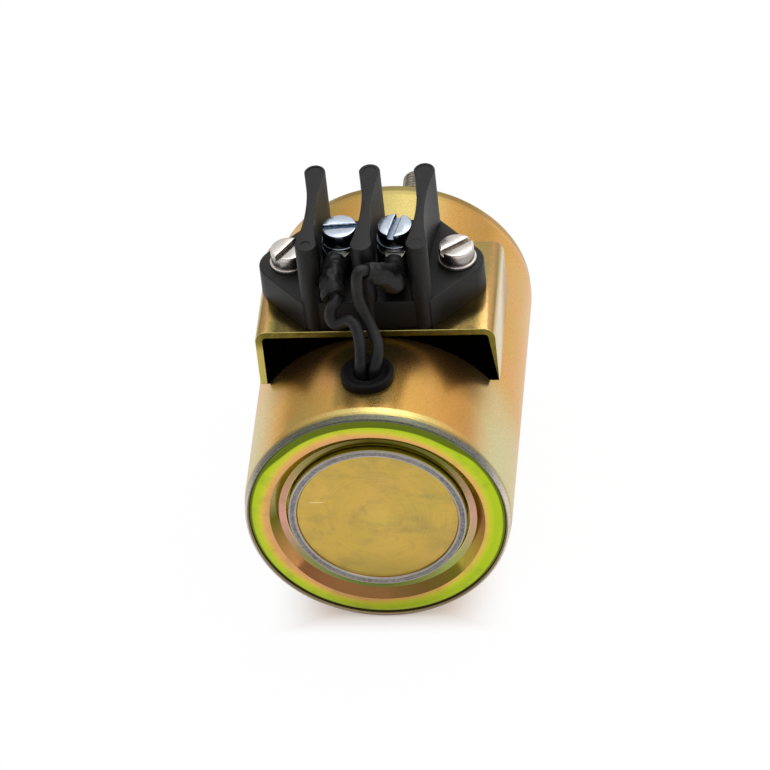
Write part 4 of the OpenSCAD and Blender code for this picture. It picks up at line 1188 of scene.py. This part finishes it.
left_sleeve = [(-6.95, -39.1, 37.5), (-7.1, -42.05, 37.8), (-7.1, -43.8, 38.1), (-7.2, -46.4, 38.4),
               (-6.7, -48, 37.5), (-6.45, -48.6, 37.2)]
left_lumps = [
    ((-9.3, -46.3, 38.2), 1.0, 0.75), ((-9.2, -44.6, 38.6), 0.8, -0.35), ((-7.0, -44.9, 40.4), 0.7, -0.3),
    ((-5.0, -47.4, 38.4), 1.2, 0.35), ((-6.4, -43.6, 40.3), 0.7, 0.25), ((-6.0, -41.4, 39.9), 0.6, 0.18),
    ((-7.9, -47.3, 40.3), 0.8, -0.2), ((-8.5, -48.6, 36.9), 1.0, 0.3)]
right_sleeve = [(4.2, -39.1, 37.4), (4.3, -41.45, 37.4), (4.5, -43.3, 37.8), (4.1, -45.3, 39),
                (2.9, -47.1, 40.7), (1, -48.6, 42.9), (0.1, -49.1, 43.6)]
right_lumps = [
    ((5.2, -46.6, 37.6), 1.6, 0.9), ((3.4, -47.2, 38.4), 1.5, 0.5), ((0.8, -46.0, 38.8), 1.3, -0.6),
    ((3.1, -44.5, 41.4), 0.8, -0.5), ((4.4, -44.5, 40.6), 0.8, -0.5), ((5.7, -44.7, 39.6), 0.8, -0.45),
    ((2.7, -45.6, 42.5), 0.9, 0.4), ((4.2, -46.0, 41.2), 0.8, 0.35), ((5.6, -46.0, 40.0), 0.8, 0.3)]
for side, route, radii, wrinkle, seed, lumps in (
        ("left", left_sleeve, (2.3, 2.3, 2.25, 2.1, 2.15, 2.2), 0.22, 1.0, left_lumps),
        ("right", right_sleeve, (2.05, 2.3, 2.5, 2.6, 2.3, 1.9, 1.6), 0.12, 5.0, right_lumps)):
    sleeve = sleeve_mesh("sleeve_" + side, route, radii, 12, wrinkle, seed, lumps)
    fit(f"sleeve_{side}_shrunk", sleeve, shrink, "heat_shrink", "sleeve_" + side)


# ---- Lead grommet ----
# A moulded rubber grommet sprung into the hole in the case; its flange follows the case's curve
# below, and its top is slightly dished round the two leads.
grommet_rubber = simple_finish(
    "grommet_rubber", 0.0, 0.48, 0.68, ((0.0020, 0.0019, 0.0021), (0.0042, 0.0040, 0.0044)), 0.02,
    dirt=(3.0, 0.5, 0.25, (0.02, 0.019, 0.021)), Specular_IOR_Level=0.13)

flange_r, flange_top, bore = 5.0, grommet_high.z / MM, 2.4
section = soft_corners([
    (bore, case_r - 3.2), (bore, flange_top - 0.55, 0.35), (3.4, flange_top - 0.42, 0.5),
    (flange_r - 0.5, flange_top, 0.45), (flange_r, flange_top - 0.35, 0.35), (flange_r, case_r + 0.02, 0.1),
    (3.42, case_r + 0.02), (3.42, case_r - 1.62), (4.1, case_r - 1.7, 0.15), (4.1, case_r - 2.5, 0.2),
    (3.0, case_r - 3.2, 0.2)], 4)
points, faces = turned(section, 72)
settled = []
for p in points:
    x, y, z = p[0], p[2], p[1]
    drop = case_r - math.sqrt(case_r ** 2 - (x + grommet_x) ** 2)
    low = max(0.0, min(1.0, (flange_top - z) / (flange_top - case_r - 0.02)))
    settled.append((x + grommet_x, y + grommet_y, z - drop * low))
fit("rubber_grommet", as_mesh(settled, faces), grommet_rubber, "grommet_rubber", "lead_grommet")


# ---- Return spring ----
# Music wire wound with closed ends. The real spring shortens towards its fixed rear end as the plunger is
# drawn in; here it is wound at full length, and the slide's travel is read but not applied to it.
spring_low, spring_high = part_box("return_spring")
spring_steel = simple_finish("spring_wire", 1.0, 0.3, 0.3,
                             ((0.22, 0.22, 0.23), (0.42, 0.41, 0.41)), 0.01, 0.4)
wire_d, turns = 1.0, 11
coil_r = (spring_high.x - spring_low.x) / MM / 2 - wire_d / 2
start_y, end_y = spring_low.y / MM + wire_d / 2, spring_high.y / MM - wire_d / 2
free = end_y - start_y - 2 * wire_d
helix = []
for k in range(turns * 32 + 1):
    t = k / 32
    rise = min(1, t) + max(0, t - turns + 1)
    mid = (t - min(1, t) - max(0, t - turns + 1)) / (turns - 2)
    a = math.tau * t
    helix.append((coil_r * math.cos(a), start_y + wire_d * rise + free * mid, coil_r * math.sin(a)))
spring = fit("wound_spring", along_line(helix, wire_d / 2 - 0.02, 16, spring_steel), spring_steel,
             "spring_steel", "return_spring")
slide = next(j for j in frame["joints"] if j["name"] == "plunger_slide")
travel = slide["range_m"][1]
1 - travel / (spring_high.y - spring_low.y)
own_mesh(spring)


# ---- Parts inside the case ----
# Turned, wound and pressed parts that keep their solids: the plunger and its spring seat, the guide
# tube, the coil on its bobbin, and the washers.
for name, node_name, colours, metallic, rough, size, depth, spacing in (
        ("plunger_steel", "plunger", ((0.40, 0.39, 0.37), (0.62, 0.61, 0.58)), 1, 0.3, 0.3, 0.006, 0.12),
        ("seat_steel", "spring_seat", ((0.36, 0.35, 0.34), (0.55, 0.54, 0.52)), 1, 0.32, 0.3, 0.006, 0.15),
        ("guide_brass", "guide_tube", ((0.50, 0.34, 0.12), (0.72, 0.52, 0.2)), 1, 0.28, 0.3, 0.005, 0.2),
        ("natural_nylon", "coil_bobbin", ((0.62, 0.58, 0.48), (0.74, 0.70, 0.60)), 0, 0.5, 0.6, 0.02, 0),
        ("enamelled_copper", "coil_winding", ((0.22, 0.06, 0.02), (0.62, 0.25, 0.09)), 1, 0.3, 0.3,
         0.12, 0.5),
        ("coil_tape", "coil_tape", ((0.60, 0.44, 0.10), (0.74, 0.57, 0.18)), 0, 0.4, 1.5, 0.05, 0),
        ("shim_brass", "shim_washer", ((0.52, 0.36, 0.13), (0.70, 0.5, 0.2)), 1, 0.3, 0.3, 0.005, 0.15),
        ("stop_rubber", "stop_washer", ((0.018, 0.018, 0.018), (0.034, 0.033, 0.032)), 0, 0.6, 0.3, 0.02, 0)):
    repaint(node_name, simple_finish(name, metallic, rough - 0.07, rough + 0.07, colours, depth, size,
                                     (spacing, 1.5, 1.4) if spacing else ()))
